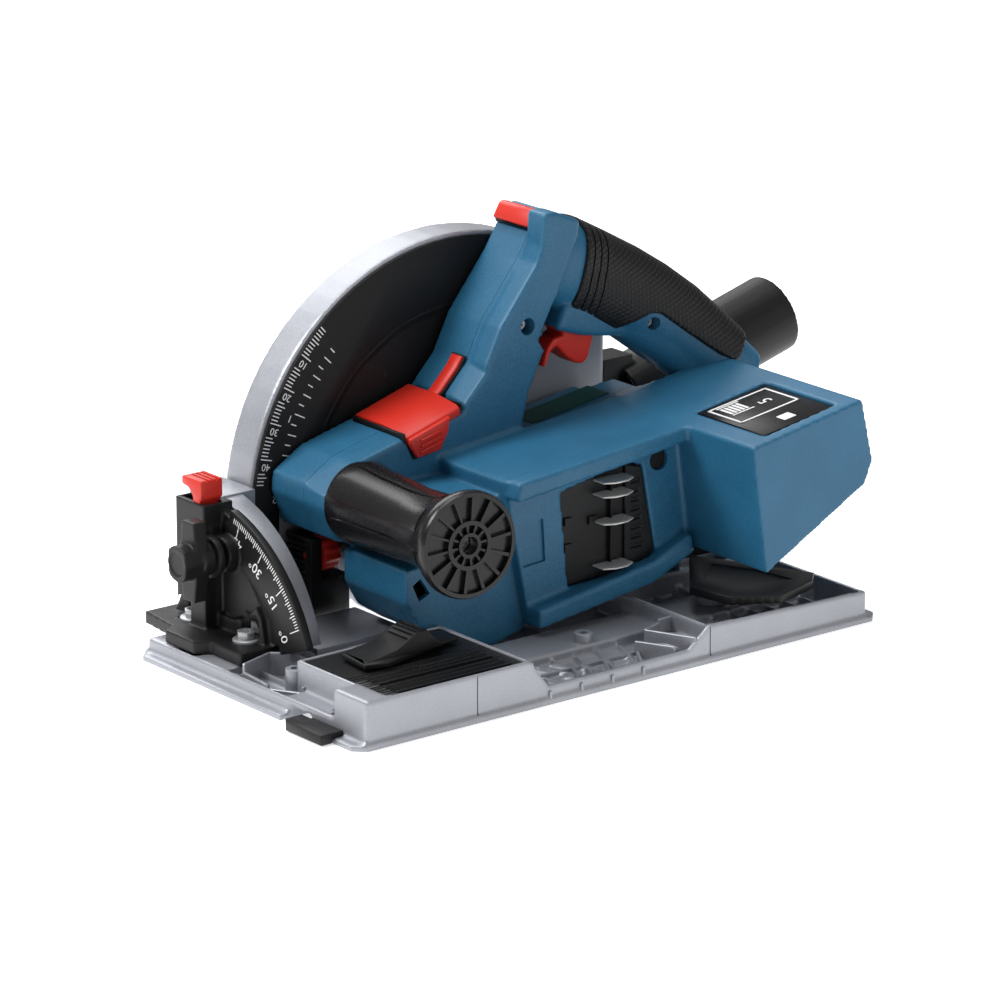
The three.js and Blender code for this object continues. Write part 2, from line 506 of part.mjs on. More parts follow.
function housingLeft() {
  const column = prism("xz", BODY_OUTLINE, BODY.split + GAP / 2, BODY.near);
  const columnHollow = prism("xz", inset(BODY_OUTLINE, BODY.skin), BODY.split - 1, BODY.near - BODY.skin);
  const barrel = prism("xz", MOTOR_OUTLINE, BODY.near - 4, MOTOR.near);
  const barrelHollow = prism("xz", inset(MOTOR_OUTLINE, MOTOR.skin), BODY.near - 5, MOTOR.near - MOTOR.skin);
  const bayOutline = [[22, 93], [6, 13.5], [-70, 25], [-104, 38], [-112, 60], [-112, 100], [-92, 105]];
  const bay = prism("xz", bayOutline, BODY.near - 1, BODY.bay);
  const bayHollow = prism("xz", inset(bayOutline, BODY.skin), BODY.near - 2, BODY.bay - BODY.skin);
  const topRail = prism("xz", [[22, 84], [-56, 92], [-92, 97], [-93, 105], [20, 94]], BODY.bay - 1, BODY.rail);
  const lowRail = prism("xz", [[7, 14], [-68, 24], [-96, 36], [-94, 46], [-70, 36], [7, 24]], BODY.bay - 1, BODY.rail);
  const pod = prism("xz", POD_OUTLINE, POD.far, POD.near);
  const podHollow = prism("xz", inset(POD_OUTLINE, POD.skin), POD.far - 1, POD.near - POD.skin);
  const vents = [0, 1, 2, 3].map((i) => box(30, 90, -4 + i * 5, -2 + i * 5, 20, 34));
  const contactSlot = prism("xz", CONTACTS, BODY.bay - 4, BODY.bay + 1);
  const rearBar = prism("xz", [[-108, 72], [-108, 101], [-168, 107], [-172, 96], [-126, 78]], -50, BODY.near);
  const display = prism("xz", [[-104, 112], [-104, 105], [-152, 112], [-152, 120]], 22, 76);
  const solid = union(column, rearBar, barrel, bay, topRail, lowRail, pod);
  const shellHole = disc("xz", STUB.x, STUB.z, 5, BODY.near - 6, BODY.near + 1, 0, 16);
  const bearing = onMotor(3 + GAP, MOTOR.near - 5, MOTOR.near + 1, 0, 16);
  return cut(solid, columnHollow, barrelHollow, bayHollow, podHollow, ...vents, contactSlot,
    display, buttonPocket, leverPocket, shellHole, bearing);
}
part(unit, "housing_left", housingLeft(), BLUE);

function mainHandle() {
  const core = sweep(HANDLE_PATH, 16, 21);
  const pocket = prism("xz", [[-62, 120], [-66, 160], [-106, 160], [-106, 118]], -61.5, -42.5);
  const body = union(
    prism("xz", BODY_OUTLINE, BODY.far - 1, BODY.near + 1),
    prism("xz", POD_OUTLINE, POD.far - 1, POD.near + 1)
  );
  const underOutline = [[-20, 60], [-20, 102], [-108, 102], [-168, 108], [-200, 112], [-200, 60]];
  const under = prism("xz", underOutline, -90, 40);
  return cut(core, pocket, grown(body.add(under))).decompose().sort((a, b) => b.volume() - a.volume())[0];
}
// A copy of a solid moved a little each way, to leave air round a piece that meets it.
function grown(solid) {
  const moves = [[GAP, 0, 0], [-GAP, 0, 0], [0, 0, GAP], [0, 0, -GAP]];
  return union(solid, ...moves.map((move) => solid.translate(move)));
}
const handle = mainHandle();
part(unit, "main_handle", handle, BLUE);

function handleGrip() {
  const outer = sweep(HANDLE_PATH, 19, 24);
  const inner = sweep(HANDLE_PATH, 16.3, 21.3);
  const keepOutline = [[-94, 205], [-84, 150], [-104, 140], [-120, 146], [-166, 112], [-186, 130], [-150, 205]];
  const keep = prism("xz", keepOutline, -90, 0);
  const pocket = prism("xz", [[-62, 110], [-62, 140], [-106, 150], [-106, 110]], -66, -38);
  const pod = prism("xz", POD_OUTLINE, POD.far - 1, POD.near + 1);
  const sleeve = cut(outer.intersect(keep), inner, pocket, grown(pod));
  return sleeve.decompose().sort((a, b) => b.volume() - a.volume())[0];
}
part(unit, "handle_grip", handleGrip(), RUBBER);
part(frame(unit, 0, 0, 0), "trigger", prism("xz", TRIGGER, -60, -44), RED);
part(unit, "switch_module", box(-98, -80, -60, -44, 155, 160), BLACK);
part(frame(unit, 0, 0, 0), "plunge_lock_button", prism("xz", BUTTON, -79.5, -50), RED);

const LEVER_AXIS = { x: 41, z: 109 };
function bladeLever() {
  const top = prism("xz", [[42, 106.5], [42, 111.5], [24, 116], [8, 121], [6, 117]], -77, -40);
  const side = prism("xz", [[38, 96], [39, 109], [14, 118.5], [15, 112], [20, 98]], BODY.near + GAP, BODY.near + 4);
  const bridge = prism("xz", [[38, 107.5], [38, 112], [12, 119], [12, 114.5]], -42, BODY.near + 1);
  return union(top, side, bridge);
}
part(frame(unit, LEVER_AXIS.x, 0, LEVER_AXIS.z), "blade_change_lever", bladeLever(), RED);

// ---------------------------------------------------------------- electronics
const panelOutline = [[-104.5, 107.5], [-104.5, 105.8], [-151.5, 112.8], [-151.5, 114.5]];
part(unit, "display_panel", prism("xz", panelOutline, 22.5, 75.5), GLASS);
part(unit, "control_board", box(-150, -112, 10, 70, 84, 87), BOARD);
part(unit, "contact_block", prism("xz", inset(CONTACTS, 0.5), BODY.bay - 3.7, BODY.bay - GAP), BLACK);
[36.5, 60.5, 75, 82.5].forEach((z, i) => {
  part(unit, `battery_contact_${i + 1}`, box(-56, -38, BODY.bay, BODY.bay + 8, z, z + 0.9), STEEL);
});

// ---------------------------------------------------------------- stub handle
// A profile of radius against distance, turned about the stub handle's own axis.
function turnedOnStub(profile) {
  const along = new THREE.Vector3(STUB.endX - STUB.x, STUB.endY - STUB.y, STUB.endZ - STUB.z).normalize();
  const lathe = new THREE.LatheGeometry(vectors([...profile, profile[0]]), 36);
  lathe.applyQuaternion(new THREE.Quaternion().setFromUnitVectors(new THREE.Vector3(0, 1, 0), along));
  lathe.translate(STUB.x, STUB.y, STUB.z);
  return toSolid(lathe);
}
const stub = turnedOnStub([
  [STUB.bore, GAP], [21, GAP], [21.5, 12], [19.5, 30], [18.5, 60], [20, 82], [24, 94],
  [STUB.flange, 100], [STUB.flange, 107], [STUB.bore, 107],
]);
part(unit, "stub_handle", cut(stub, box(40, 130, -60, BODY.near + GAP, 40, 120)), BLACK);
const stubBolt = [[0.5, 3], [STUB.bore - GAP, 3], [STUB.bore - GAP, 99], [0.5, 99]];
part(unit, "stub_bolt", turnedOnStub(stubBolt), STEEL);

export default root;
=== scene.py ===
# Track plunge saw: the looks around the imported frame. Places and sizes are millimetres, in the frame of
# the CAD (+X front, +Y motor side, +Z up from the sole), and new_piece() turns them into metres.
import json
import math

import bmesh
import bpy
from mathutils import Matrix, Vector


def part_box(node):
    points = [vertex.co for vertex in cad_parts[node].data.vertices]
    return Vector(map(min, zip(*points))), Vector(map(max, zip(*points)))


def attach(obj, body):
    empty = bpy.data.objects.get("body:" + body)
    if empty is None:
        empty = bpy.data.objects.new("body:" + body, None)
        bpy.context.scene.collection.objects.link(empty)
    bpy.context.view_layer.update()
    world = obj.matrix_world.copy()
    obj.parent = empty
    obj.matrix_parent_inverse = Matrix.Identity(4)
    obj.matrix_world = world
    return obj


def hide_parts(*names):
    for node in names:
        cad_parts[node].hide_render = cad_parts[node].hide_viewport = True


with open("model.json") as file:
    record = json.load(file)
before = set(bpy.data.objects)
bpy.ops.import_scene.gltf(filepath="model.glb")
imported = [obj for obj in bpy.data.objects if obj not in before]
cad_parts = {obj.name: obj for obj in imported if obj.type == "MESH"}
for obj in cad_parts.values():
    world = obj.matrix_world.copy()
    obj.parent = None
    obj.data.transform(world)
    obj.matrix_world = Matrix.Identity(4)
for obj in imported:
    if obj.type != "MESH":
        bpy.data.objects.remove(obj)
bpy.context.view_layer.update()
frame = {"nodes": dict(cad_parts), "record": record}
MM = 0.001


# Driving dimensions, as in the CAD.
GUARD = {"x": -26.5, "z": 62, "near": -84}
PLUNGE = {"x": -101, "z": 15}
STUB = {"start": (74, -34, 80), "end": (84, 72, 84)}
COLUMN_NEAR = -34
BODY_FAR = -80
COLUMN_SPLIT = -52
BAY_FACE = 22
# Sizes of the looks: the height at which the cast ribs start, the thickness of the front bracket's plate, and
# the front clamp's centre with the radius of the collars.
DECK = 2
BRACKET_PLATE = 6
CLAMP = {"y": -60, "z": 58, "collar": 9.5}
# The raised band of the tilt scale: its centre and radii, how far it stands forward, and the angle of its
# zero and of each degree.
SCALE = {"y": -81, "z": -9, "inner": 68, "outer": 92.5, "lead": 1.5, "zero": 27, "step": 0.96}
# The thumb plate of the blade change lever, in y.
LEVER_INSIDE = -33.7
LEVER_FACE = -30.4
# Where the camera looks from in degrees, its focal length in millimetres, its distance and target in metres.
CAMERA = {"azimuth": 38.27, "elevation": 16.89, "lens": 194.4, "distance": 3.022,
    "target": (-0.147, -0.1967, 0)}


# ---------------------------------------------------------------- materials
def shader(name, **sockets):
    material = bpy.data.materials.new(name)
    material.use_nodes = True
    nodes = material.node_tree.nodes
    links = material.node_tree.links
    principled = nodes["Principled BSDF"]
    for socket, value in sockets.items():
        principled.inputs[socket.replace("_", " ")].default_value = value
    place = nodes.new("ShaderNodeTexCoord").outputs["Object"]
    return material, nodes, links, principled, place


def noise(nodes, links, place, size, detail=3.0, roughness=0.55):
    """Noise whose features are about size millimetres across."""
    texture = nodes.new("ShaderNodeTexNoise")
    texture.inputs["Scale"].default_value = 1 / (size * MM)
    texture.inputs["Detail"].default_value = detail
    texture.inputs["Roughness"].default_value = roughness
    links.new(place, texture.inputs["Vector"])
    return texture.outputs["Fac"]


def spread(nodes, links, value, low, high, start=0.3, stop=0.7):
    """Maps a noise value onto a range."""
    ramp = nodes.new("ShaderNodeMapRange")
    ramp.inputs["From Min"].default_value = start
    ramp.inputs["From Max"].default_value = stop
    ramp.inputs["To Min"].default_value = low
    ramp.inputs["To Max"].default_value = high
    links.new(value, ramp.inputs["Value"])
    return ramp.outputs["Result"]


def two_tone(nodes, links, value, dark, light, start=0.3, stop=0.7):
    ramp = nodes.new("ShaderNodeValToRGB")
    ramp.color_ramp.elements[0].position = start
    ramp.color_ramp.elements[1].position = stop
    ramp.color_ramp.elements[0].color = (*dark, 1)
    ramp.color_ramp.elements[1].color = (*light, 1)
    links.new(value, ramp.inputs["Fac"])
    return ramp.outputs["Color"]


def relief(nodes, links, principled, height, strength, depth):
    bump = nodes.new("ShaderNodeBump")
    bump.inputs["Strength"].default_value = strength
    bump.inputs["Distance"].default_value = depth * MM
    links.new(height, bump.inputs["Height"])
    links.new(bump.outputs["Normal"], principled.inputs["Normal"])


def moulded(name, dark, light, rough, patch=30, grain=0.45, depth=0.06, strength=0.5, **sockets):
    """A moulded or cast surface: soft colour patches, a fine grain in colour, gloss and relief."""
    material, nodes, links, principled, place = shader(name, **sockets)
    wide = noise(nodes, links, place, patch, 2.0)
    fine = noise(nodes, links, place, grain, 3.0, 0.6)
    mix = nodes.new("ShaderNodeMath")
    mix.operation = "MULTIPLY_ADD"
    links.new(fine, mix.inputs[0])
    mix.inputs[1].default_value = 0.75
    half = nodes.new("ShaderNodeMath")
    half.operation = "MULTIPLY"
    half.inputs[1].default_value = 0.25
    links.new(wide, half.inputs[0])
    links.new(half.outputs[0], mix.inputs[2])
    links.new(two_tone(nodes, links, mix.outputs[0], dark, light, 0.32, 0.68), principled.inputs["Base Color"])
    links.new(spread(nodes, links, fine, rough - 0.06, rough + 0.08), principled.inputs["Roughness"])
    relief(nodes, links, principled, fine, strength, depth)
    return material


def brushed(name, dark, light, rough, axis, **sockets):
    """Metal with fine turned or ground lines across one axis."""
    material, nodes, links, principled, place = shader(name, Metallic=1.0, **sockets)
    stretch = nodes.new("ShaderNodeMapping")
    stretch.inputs["Scale"].default_value = tuple(1.0 if i == axis else 0.04 for i in range(3))
    links.new(place, stretch.inputs["Vector"])
    lines = noise(nodes, links, stretch.outputs["Vector"], 0.5, 4.0)
    links.new(two_tone(nodes, links, lines, dark, light), principled.inputs["Base Color"])
    links.new(spread(nodes, links, lines, rough - 0.05, rough + 0.12), principled.inputs["Roughness"])
    relief(nodes, links, principled, lines, 0.15, 0.02)
    return material


def diamonds(name, dark, light, rough, size, slope):
    """Rubber with a pressed diamond pattern, in the side plane of a handle that slopes."""
    material, nodes, links, principled, place = shader(name, Specular_IOR_Level=0.3)
    height = None
    for turn in (slope + 0.6, slope - 0.6):
        mapping = nodes.new("ShaderNodeMapping")
        mapping.inputs["Rotation"].default_value = (0, turn, 0)
        links.new(place, mapping.inputs["Vector"])
        wave = nodes.new("ShaderNodeTexWave")
        wave.bands_direction = "X"
        wave.inputs["Scale"].default_value = 1 / (size * MM) / 3.2
        links.new(mapping.outputs["Vector"], wave.inputs["Vector"])
        if height is None:
            height = wave.outputs["Fac"]
            continue
        both = nodes.new("ShaderNodeMath")
        both.operation = "MULTIPLY"
        links.new(height, both.inputs[0])
        links.new(wave.outputs["Fac"], both.inputs[1])
        height = both.outputs[0]
    fine = noise(nodes, links, place, 0.6)
    links.new(two_tone(nodes, links, fine, dark, light), principled.inputs["Base Color"])
    links.new(spread(nodes, links, fine, rough - 0.05, rough + 0.1), principled.inputs["Roughness"])
    relief(nodes, links, principled, height, 0.8, 0.35)
    return material


BLUE = moulded("blue_plastic", (0.010, 0.082, 0.165), (0.026, 0.15, 0.27), 0.42, grain=0.7,
    Specular_IOR_Level=0.4)
BLACK = moulded("black_plastic", (0.003, 0.003, 0.0035), (0.009, 0.009, 0.01), 0.44, Specular_IOR_Level=0.3)
GLOSS_BLACK = moulded("glossy_black_plastic", (0.003, 0.003, 0.0035), (0.008, 0.008, 0.009), 0.26, depth=0.02,
    Specular_IOR_Level=0.35)
RUBBER = moulded("black_rubber", (0.004, 0.004, 0.0045), (0.01, 0.01, 0.011), 0.58, grain=0.7)
GRIP = diamonds("diamond_rubber", (0.003, 0.003, 0.0035), (0.008, 0.008, 0.009), 0.46, 2.4, 0.6)
RED = moulded("red_plastic", (0.5, 0.017, 0.009), (0.64, 0.03, 0.016), 0.38, depth=0.03,
    Specular_IOR_Level=0.35)
CAST = moulded("painted_cast_alloy", (0.3, 0.31, 0.34), (0.4, 0.41, 0.45), 0.42, grain=0.8, depth=0.1,
    strength=0.4, Metallic=0.55)
BLACK_PAINT = moulded("black_scale_paint", (0.003, 0.003, 0.0035), (0.009, 0.009, 0.01), 0.5, grain=0.3,
    Specular_IOR_Level=0.22)
WHITE_INK = moulded("white_scale_ink", (0.72, 0.72, 0.72), (0.86, 0.86, 0.86), 0.5, depth=0.01)
STEEL = brushed("turned_steel", (0.42, 0.43, 0.45), (0.62, 0.63, 0.65), 0.26, 2)
ZINC = moulded("zinc_plated_steel", (0.4, 0.41, 0.43), (0.55, 0.56, 0.57), 0.4, grain=1.2, depth=0.01,
    Metallic=0.7)
BLADE = brushed("ground_blade_steel", (0.4, 0.41, 0.43), (0.56, 0.57, 0.59), 0.3, 0)
COPPER = brushed("copper_winding", (0.42, 0.16, 0.06), (0.7, 0.32, 0.14), 0.34, 1)
SCREEN = moulded("screen_glass", (0.002, 0.002, 0.003), (0.006, 0.006, 0.007), 0.3, depth=0.002,
    Specular_IOR_Level=0.25)
BOARD = moulded("circuit_board", (0.006, 0.05, 0.02), (0.012, 0.09, 0.035), 0.4, grain=2.5)
NICKEL = moulded("nickel_plate", (0.5, 0.5, 0.49), (0.66, 0.66, 0.65), 0.36, grain=1.5, depth=0.02,
    Metallic=0.35)
LABEL = moulded("dark_green_label", (0.002, 0.05, 0.045), (0.004, 0.07, 0.062), 0.5, depth=0.01,
    Specular_IOR_Level=0.2)


# ---------------------------------------------------------------- mesh tools
PLACE = {
    "xy": lambda u, v, w: (u, v, w),
    "xz": lambda u, v, w: (u, w, v),
    "yz": lambda u, v, w: (w, u, v),
}
# The faces of a block whose corners are listed round its low side and then round its high side.
BLOCK_FACES = [(0, 1, 2, 3), (7, 6, 5, 4), (0, 4, 5, 1), (1, 5, 6, 2), (2, 6, 7, 3), (3, 7, 4, 0)]


def new_piece(name, points, faces):
    mesh = bpy.data.meshes.new(name)
    mesh.from_pydata([tuple(value * MM for value in point) for point in points], [], faces)
    work = bmesh.new()
    work.from_mesh(mesh)
    bmesh.ops.remove_doubles(work, verts=work.verts, dist=1e-6)
    bmesh.ops.recalc_face_normals(work, faces=work.faces)
    work.to_mesh(mesh)
    work.free()
    piece = bpy.data.objects.new(name, mesh)
    bpy.context.scene.collection.objects.link(piece)
    return piece


def prism(plane, outline, low, high, name="piece"):
    """An outline in one plane, drawn out along the third axis."""
    count = len(outline)
    points = [PLACE[plane](u, v, w) for w in (low, high) for u, v in outline]
    sides = [(i, (i + 1) % count, count + (i + 1) % count, count + i) for i in range(count)]
    caps = [tuple(range(count)), tuple(range(2 * count - 1, count - 1, -1))]
    return new_piece(name, points, sides + caps)


def box(x0, x1, y0, y1, z0, z1, name="piece"):
    return prism("xy", [(x0, y0), (x1, y0), (x1, y1), (x0, y1)], z0, z1, name)


def arc(u, v, radius, start, stop, steps=24):
    angles = [math.radians(start + (stop - start) * i / steps) for i in range(steps + 1)]
    return [(u + radius * math.cos(a), v + radius * math.sin(a)) for a in angles]


def circle(u, v, radius, steps=32):
    return arc(u, v, radius, 0, 360, steps)[:-1]


def disc(plane, u, v, radius, low, high, steps=32, name="piece"):
    return prism(plane, circle(u, v, radius, steps), low, high, name)


def sector(u, v, inner, outer, start, stop, steps=24):
    return arc(u, v, outer, start, stop, steps) + arc(u, v, inner, stop, start, steps)


def lathe(profile, start, end, steps=64, name="piece"):
    """Turns (radius, distance) pairs about the line from start to end; the profile closes on itself."""
    start, end = Vector(start), Vector(end)
    turn = Vector((0, 0, 1)).rotation_difference((end - start).normalized())
    points = []
    for radius, along in profile:
        for i in range(steps):
            angle = 2 * math.pi * i / steps
            points.append(start + turn @ Vector((radius * math.cos(angle), radius * math.sin(angle), along)))
    faces = []
    for ring in range(len(profile)):
        after = (ring + 1) % len(profile)
        for i in range(steps):
            j = (i + 1) % steps
            faces.append((ring * steps + i, ring * steps + j, after * steps + j, after * steps + i))
    return new_piece(name, [tuple(p) for p in points], faces)


def from_cad(*nodes, name):
    """A new piece with the shape of CAD nodes, with each flat face in one polygon."""
    work = bmesh.new()
    for node in nodes:
        work.from_mesh(frame["nodes"][node].data)
    bmesh.ops.remove_doubles(work, verts=work.verts, dist=2e-6)
    bmesh.ops.dissolve_limit(work, angle_limit=math.radians(0.7), verts=work.verts, edges=work.edges)
    mesh = bpy.data.meshes.new(name)
    work.to_mesh(mesh)
    work.free()
    piece = bpy.data.objects.new(name, mesh)
    bpy.context.scene.collection.objects.link(piece)
    return piece


def copied(piece):
    twin = piece.copy()
    twin.data = piece.data.copy()
    bpy.context.scene.collection.objects.link(twin)
    return twin


def settle(piece):
    """Applies the modifiers."""
    graph = bpy.context.evaluated_depsgraph_get()
    mesh = bpy.data.meshes.new_from_object(piece.evaluated_get(graph))
    piece.modifiers.clear()
    piece.data = mesh
    return piece


def join(*pieces):
    """Several meshes in one object, the first."""
    work = bmesh.new()
    for piece in pieces:
        work.from_mesh(piece.data)
    work.to_mesh(pieces[0].data)
    work.free()
    for piece in pieces[1:]:
        bpy.data.objects.remove(piece)
    return pieces[0]


def combine(piece, operation, *tools):
    for tool in tools:
        modifier = piece.modifiers.new("combine", "BOOLEAN")
        modifier.operation = operation
        modifier.solver = "EXACT"
        modifier.object = tool
    settle(piece)
    for tool in tools:
        bpy.data.objects.remove(tool)
    return piece


def cut(piece, *tools):
    return combine(piece, "DIFFERENCE", *tools)


def soften(piece, voxel, rounds=4, keep=0.35):
    """Rounds every edge as a mould does: a voxel remesh, smoothed, then thinned where it is flat."""
    remesh = piece.modifiers.new("remesh", "REMESH")
    remesh.mode = "VOXEL"
    remesh.voxel_size = voxel * MM
    smooth = piece.modifiers.new("smooth", "SMOOTH")
    smooth.factor = 0.5
    smooth.iterations = rounds
    thin = piece.modifiers.new("thin", "DECIMATE")
    thin.ratio = keep
    return settle(piece)


def edge(piece, width=0.6, steps=2, angle=32):
    bevel = piece.modifiers.new("edge", "BEVEL")
    bevel.width = width * MM
    bevel.segments = steps
    bevel.limit_method = "ANGLE"
    bevel.angle_limit = math.radians(angle)
    return settle(piece)


def fit(piece, name, body, material, slot, *nodes, sharp=34):
    """Names a finished piece, gives it its material, and hangs it on its body."""
    piece.name = name
    piece.data.name = name
    piece.data.materials.clear()
    piece.data.materials.append(material)
    piece.data.shade_smooth()
    piece.data.set_sharp_from_angle(angle=math.radians(sharp))
    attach(piece, body)
    if nodes:
        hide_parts(*nodes)
    return piece


def lettering(text, size, matrix, depth=0.12):
    """Generic scale figures as a thin mesh, standing on the plane of a matrix in millimetres."""
    curve = bpy.data.curves.new("figures", "FONT")
    curve.body = text
    curve.size = size * MM
    curve.align_x = "CENTER"
    curve.align_y = "CENTER"
    curve.extrude = depth * MM / 2
    holder = bpy.data.objects.new("figures", curve)
    bpy.context.scene.collection.objects.link(holder)
    graph = bpy.context.evaluated_depsgraph_get()
    mesh = bpy.data.meshes.new_from_object(holder.evaluated_get(graph))
    bpy.data.objects.remove(holder)
    place = matrix.copy()
    place.translation = place.translation * MM
    mesh.transform(place)
    piece = bpy.data.objects.new("figures", mesh)
    bpy.context.scene.collection.objects.link(piece)
    return piece


def plane_matrix(right, up, origin):
    right = Vector(right).normalized()
    up = Vector(up).normalized()
    return Matrix.Translation(origin) @ Matrix((right, up, right.cross(up))).transposed().to_4x4()


# ---------------------------------------------------------------- camera, light and floor
def camera_and_light():
    azimuth, elevation = math.radians(CAMERA["azimuth"]), math.radians(CAMERA["elevation"])
    back = Vector((math.sin(azimuth) * math.cos(elevation), math.cos(azimuth) * math.cos(elevation),
        math.sin(elevation)))
    right = Vector((-math.cos(azimuth), math.sin(azimuth), 0))
    camera = bpy.data.objects.new("camera", bpy.data.cameras.new("camera"))
    camera.data.lens = CAMERA["lens"]
    camera.data.sensor_width = 36
    camera.matrix_world = Matrix((right, back.cross(right), back)).transposed().to_4x4()
    camera.location = Vector(CAMERA["target"]) + back * CAMERA["distance"]
    bpy.context.scene.collection.objects.link(camera)
    bpy.context.scene.camera = camera
    for name, place, size, power in (
        ("key", (1.7, -0.9, 1.9), 1.0, 50),
        ("top", (0.1, -0.3, 2.4), 1.5, 30),
        ("fill", (-0.6, 2.3, 0.9), 1.4, 9),
        ("back", (-0.5, -2.2, 1.7), 1.8, 36),
    ):
        lamp = bpy.data.objects.new(name, bpy.data.lights.new(name, "AREA"))
        lamp.data.size = size
        lamp.data.energy = power
        lamp.location = place
        aim = Vector((-0.02, -0.02, 0.09)) - lamp.location
        lamp.rotation_euler = aim.to_track_quat("-Z", "Y").to_euler()
        bpy.context.scene.collection.objects.link(lamp)
    world = bpy.data.worlds.new("studio")
    world.use_nodes = True
    world.node_tree.nodes["Background"].inputs["Color"].default_value = (1, 1, 1, 1)
    world.node_tree.nodes["Background"].inputs["Strength"].default_value = 0.27
    bpy.context.scene.world = world
    bpy.context.scene.view_settings.view_transform = "Standard"


def floor():
    """A pale floor at the sole, with a slot for the blade and a second sheet far below the slot."""
    pale = moulded("pale_floor", (0.86, 0.86, 0.86), (0.9, 0.9, 0.9), 0.9, patch=900, grain=60, depth=0.01,
        Emission_Color=(1, 1, 1, 1), Emission_Strength=0.55)
    far = 30000
    x0, x1, y0, y1 = -60, 112, -150, -45
    points = [(-far, -far), (far, -far), (far, far), (-far, far), (x0, y0), (x1, y0), (x1, y1), (x0, y1)]
    faces = [(0, 1, 5, 4), (1, 2, 6, 5), (2, 3, 7, 6), (3, 0, 4, 7)]
    sheet = new_piece("floor", [(u, v, -0.05) for u, v in points], faces)
    under = new_piece("floor_under_blade", [(u, v, -110) for u, v in points[:4]], [(0, 1, 2, 3)])
    for surface in (sheet, under):
        surface.data.materials.append(pale)


# ---------------------------------------------------------------- base
def wall_between(start, stop, low, high):
    """A thin cast rib standing on the deck between two plan points."""
    half_thick = 0.8
    (xa, ya), (xb, yb) = start, stop
    across = Vector((yb - ya, xa - xb)).normalized() * half_thick
    return edge(prism("xy", [(xa + across.x, ya + across.y), (xb + across.x, yb + across.y),
        (xb - across.x, yb - across.y), (xa - across.x, ya - across.y)], low, high), 0.35, 1)


# Thin ribs on the deck, each from one plan point to another and up to a height: the well at the front, the
# slanted ribs and the pocket beside the near edge, and the ribs along the middle.
WELL_RIBS = (
    ((129.5, -16), (138, -23), 15), ((138, -23), (159, -16), 15), ((159, -16), (161, 8), 11),
    ((161, 8), (152, 24), 9), ((152, 24), (134, 24), 12), ((134, 24), (129.5, 14), 15),
    ((129.5, 14), (129.5, -16), 15), ((129.5, 0), (138, 4), 11), ((148, 17), (150, 24), 11),
    ((132, -6), (140, 2), 8),
)
NEAR_RIBS = (
    ((50, 94), (40, 72), 7), ((30, 94), (18, 72), 7), ((10, 94), (-2, 72), 7), ((-10, 94), (-24, 72), 7),
    ((-24, 70), (-34, 90), 12), ((-34, 66), (-46, 92), 15), ((-46, 62), (-34, 66), 15),
    ((-57, 62), (-46, 62), 17),
)
MIDDLE_RIBS = (
    ((44, 70), (-24, 70), 6.5), ((20, 44), (-50, 44), 6), ((20, 44), (10, 52), 5), ((0, 44), (-10, 52), 5),
    ((-20, 44), (-30, 52), 5),
)
# Drilled posts on the deck: x, y, radius and top.
POSTS = ((146, 10, 5, 17), (-8, 48, 5, 14), (20, 48, 4, 9))


def base_casting():
    """The plate with its cast ribs, bosses and posts, and the three inserts fixed to it."""
    plate = from_cad("base_plate", name="base_plate_cast")
    ribs = []
    for x, lean in ((44, -14), (30, -14), (16, -14), (2, 14), (-12, 14), (-26, 14)):
        ribs.append(prism("xy", [(x, 56), (x + 2, 56), (x + 2 + lean, 90), (x + lean, 90)], DECK, 6.5))
    ribs.append(box(-52, 50, 72, 73.6, DECK, 5.5))
    ribs.append(disc("xy", -45, 75, 10, DECK, 9))
    ribs.append(disc("xy", -45, 75, 6, DECK, 12))
    for x in (112, 128, 144):
        ribs.append(box(x, x + 2, -24, 16, DECK, 8))
    ribs.append(box(151, 162, -20, -18, DECK, 9))
    ribs.append(disc("xy", 158, 60, 5, DECK, 9))
    for x in (-150, -138, -126, -114, -102, -90, -78, -66):
        ribs.append(box(x, x + 1.8, 7, 90, DECK, 7))
    soften(join(plate, *ribs), 1.15, 3, 0.22)
    holes = [disc("xy", -45, 75, 3, 6, 14), disc("xy", 158, 60, 2.4, 4, 12)]
    chamfer = prism("yz", [(86, 27), (96, 27), (96, 22.5)], 62.5, 94.6)
    parting_lines = [box(95.1, 95.9, 92.2, 96, 3.6, 26), box(-55.2, -54.4, 92.2, 96, 3.6, 21)]
    cut(plate, *holes, chamfer, *parting_lines)
    crisp = []
    for start, stop, top in WELL_RIBS + NEAR_RIBS + MIDDLE_RIBS:
        crisp.append(wall_between(start, stop, DECK + 0.5, top))
    for x, y, radius, top in POSTS:
        post = edge(disc("xy", x, y, radius, DECK, top), 0.5)
        crisp.append(cut(post, disc("xy", x, y, 2.2, 5, 22)))
    plate = join(plate, *crisp)
    fit(plate, "base_plate_cast", "base", CAST, "cast_aluminium", "base_plate")
    insert = from_cad("front_insert", name="front_insert_ribbed")
    grooves = [box(64, 148, y, y + 0.9, 22.3, 26) for y in range(54, 90, 3)]
    cut(insert, join(*grooves), disc("xy", 110, 62, 3.2, 20, 26))
    edge(insert, 0.3, 1)
    fit(insert, "front_insert_ribbed", "base", BLACK, "black_plastic", "front_insert")
    nose = join(edge(from_cad("nose_insert", name="nose"), 0.8), box(164, 174, 40, 52, 0.8, 4.6))
    fit(nose, "nose_insert_rounded", "base", BLACK, "black_plastic", "nose_insert")
    socket = edge(from_cad("rear_plate_socket", name="socket"), 0.5)
    fit(socket, "rear_plate_socket_rounded", "base", CAST, "cast_aluminium", "rear_plate_socket")


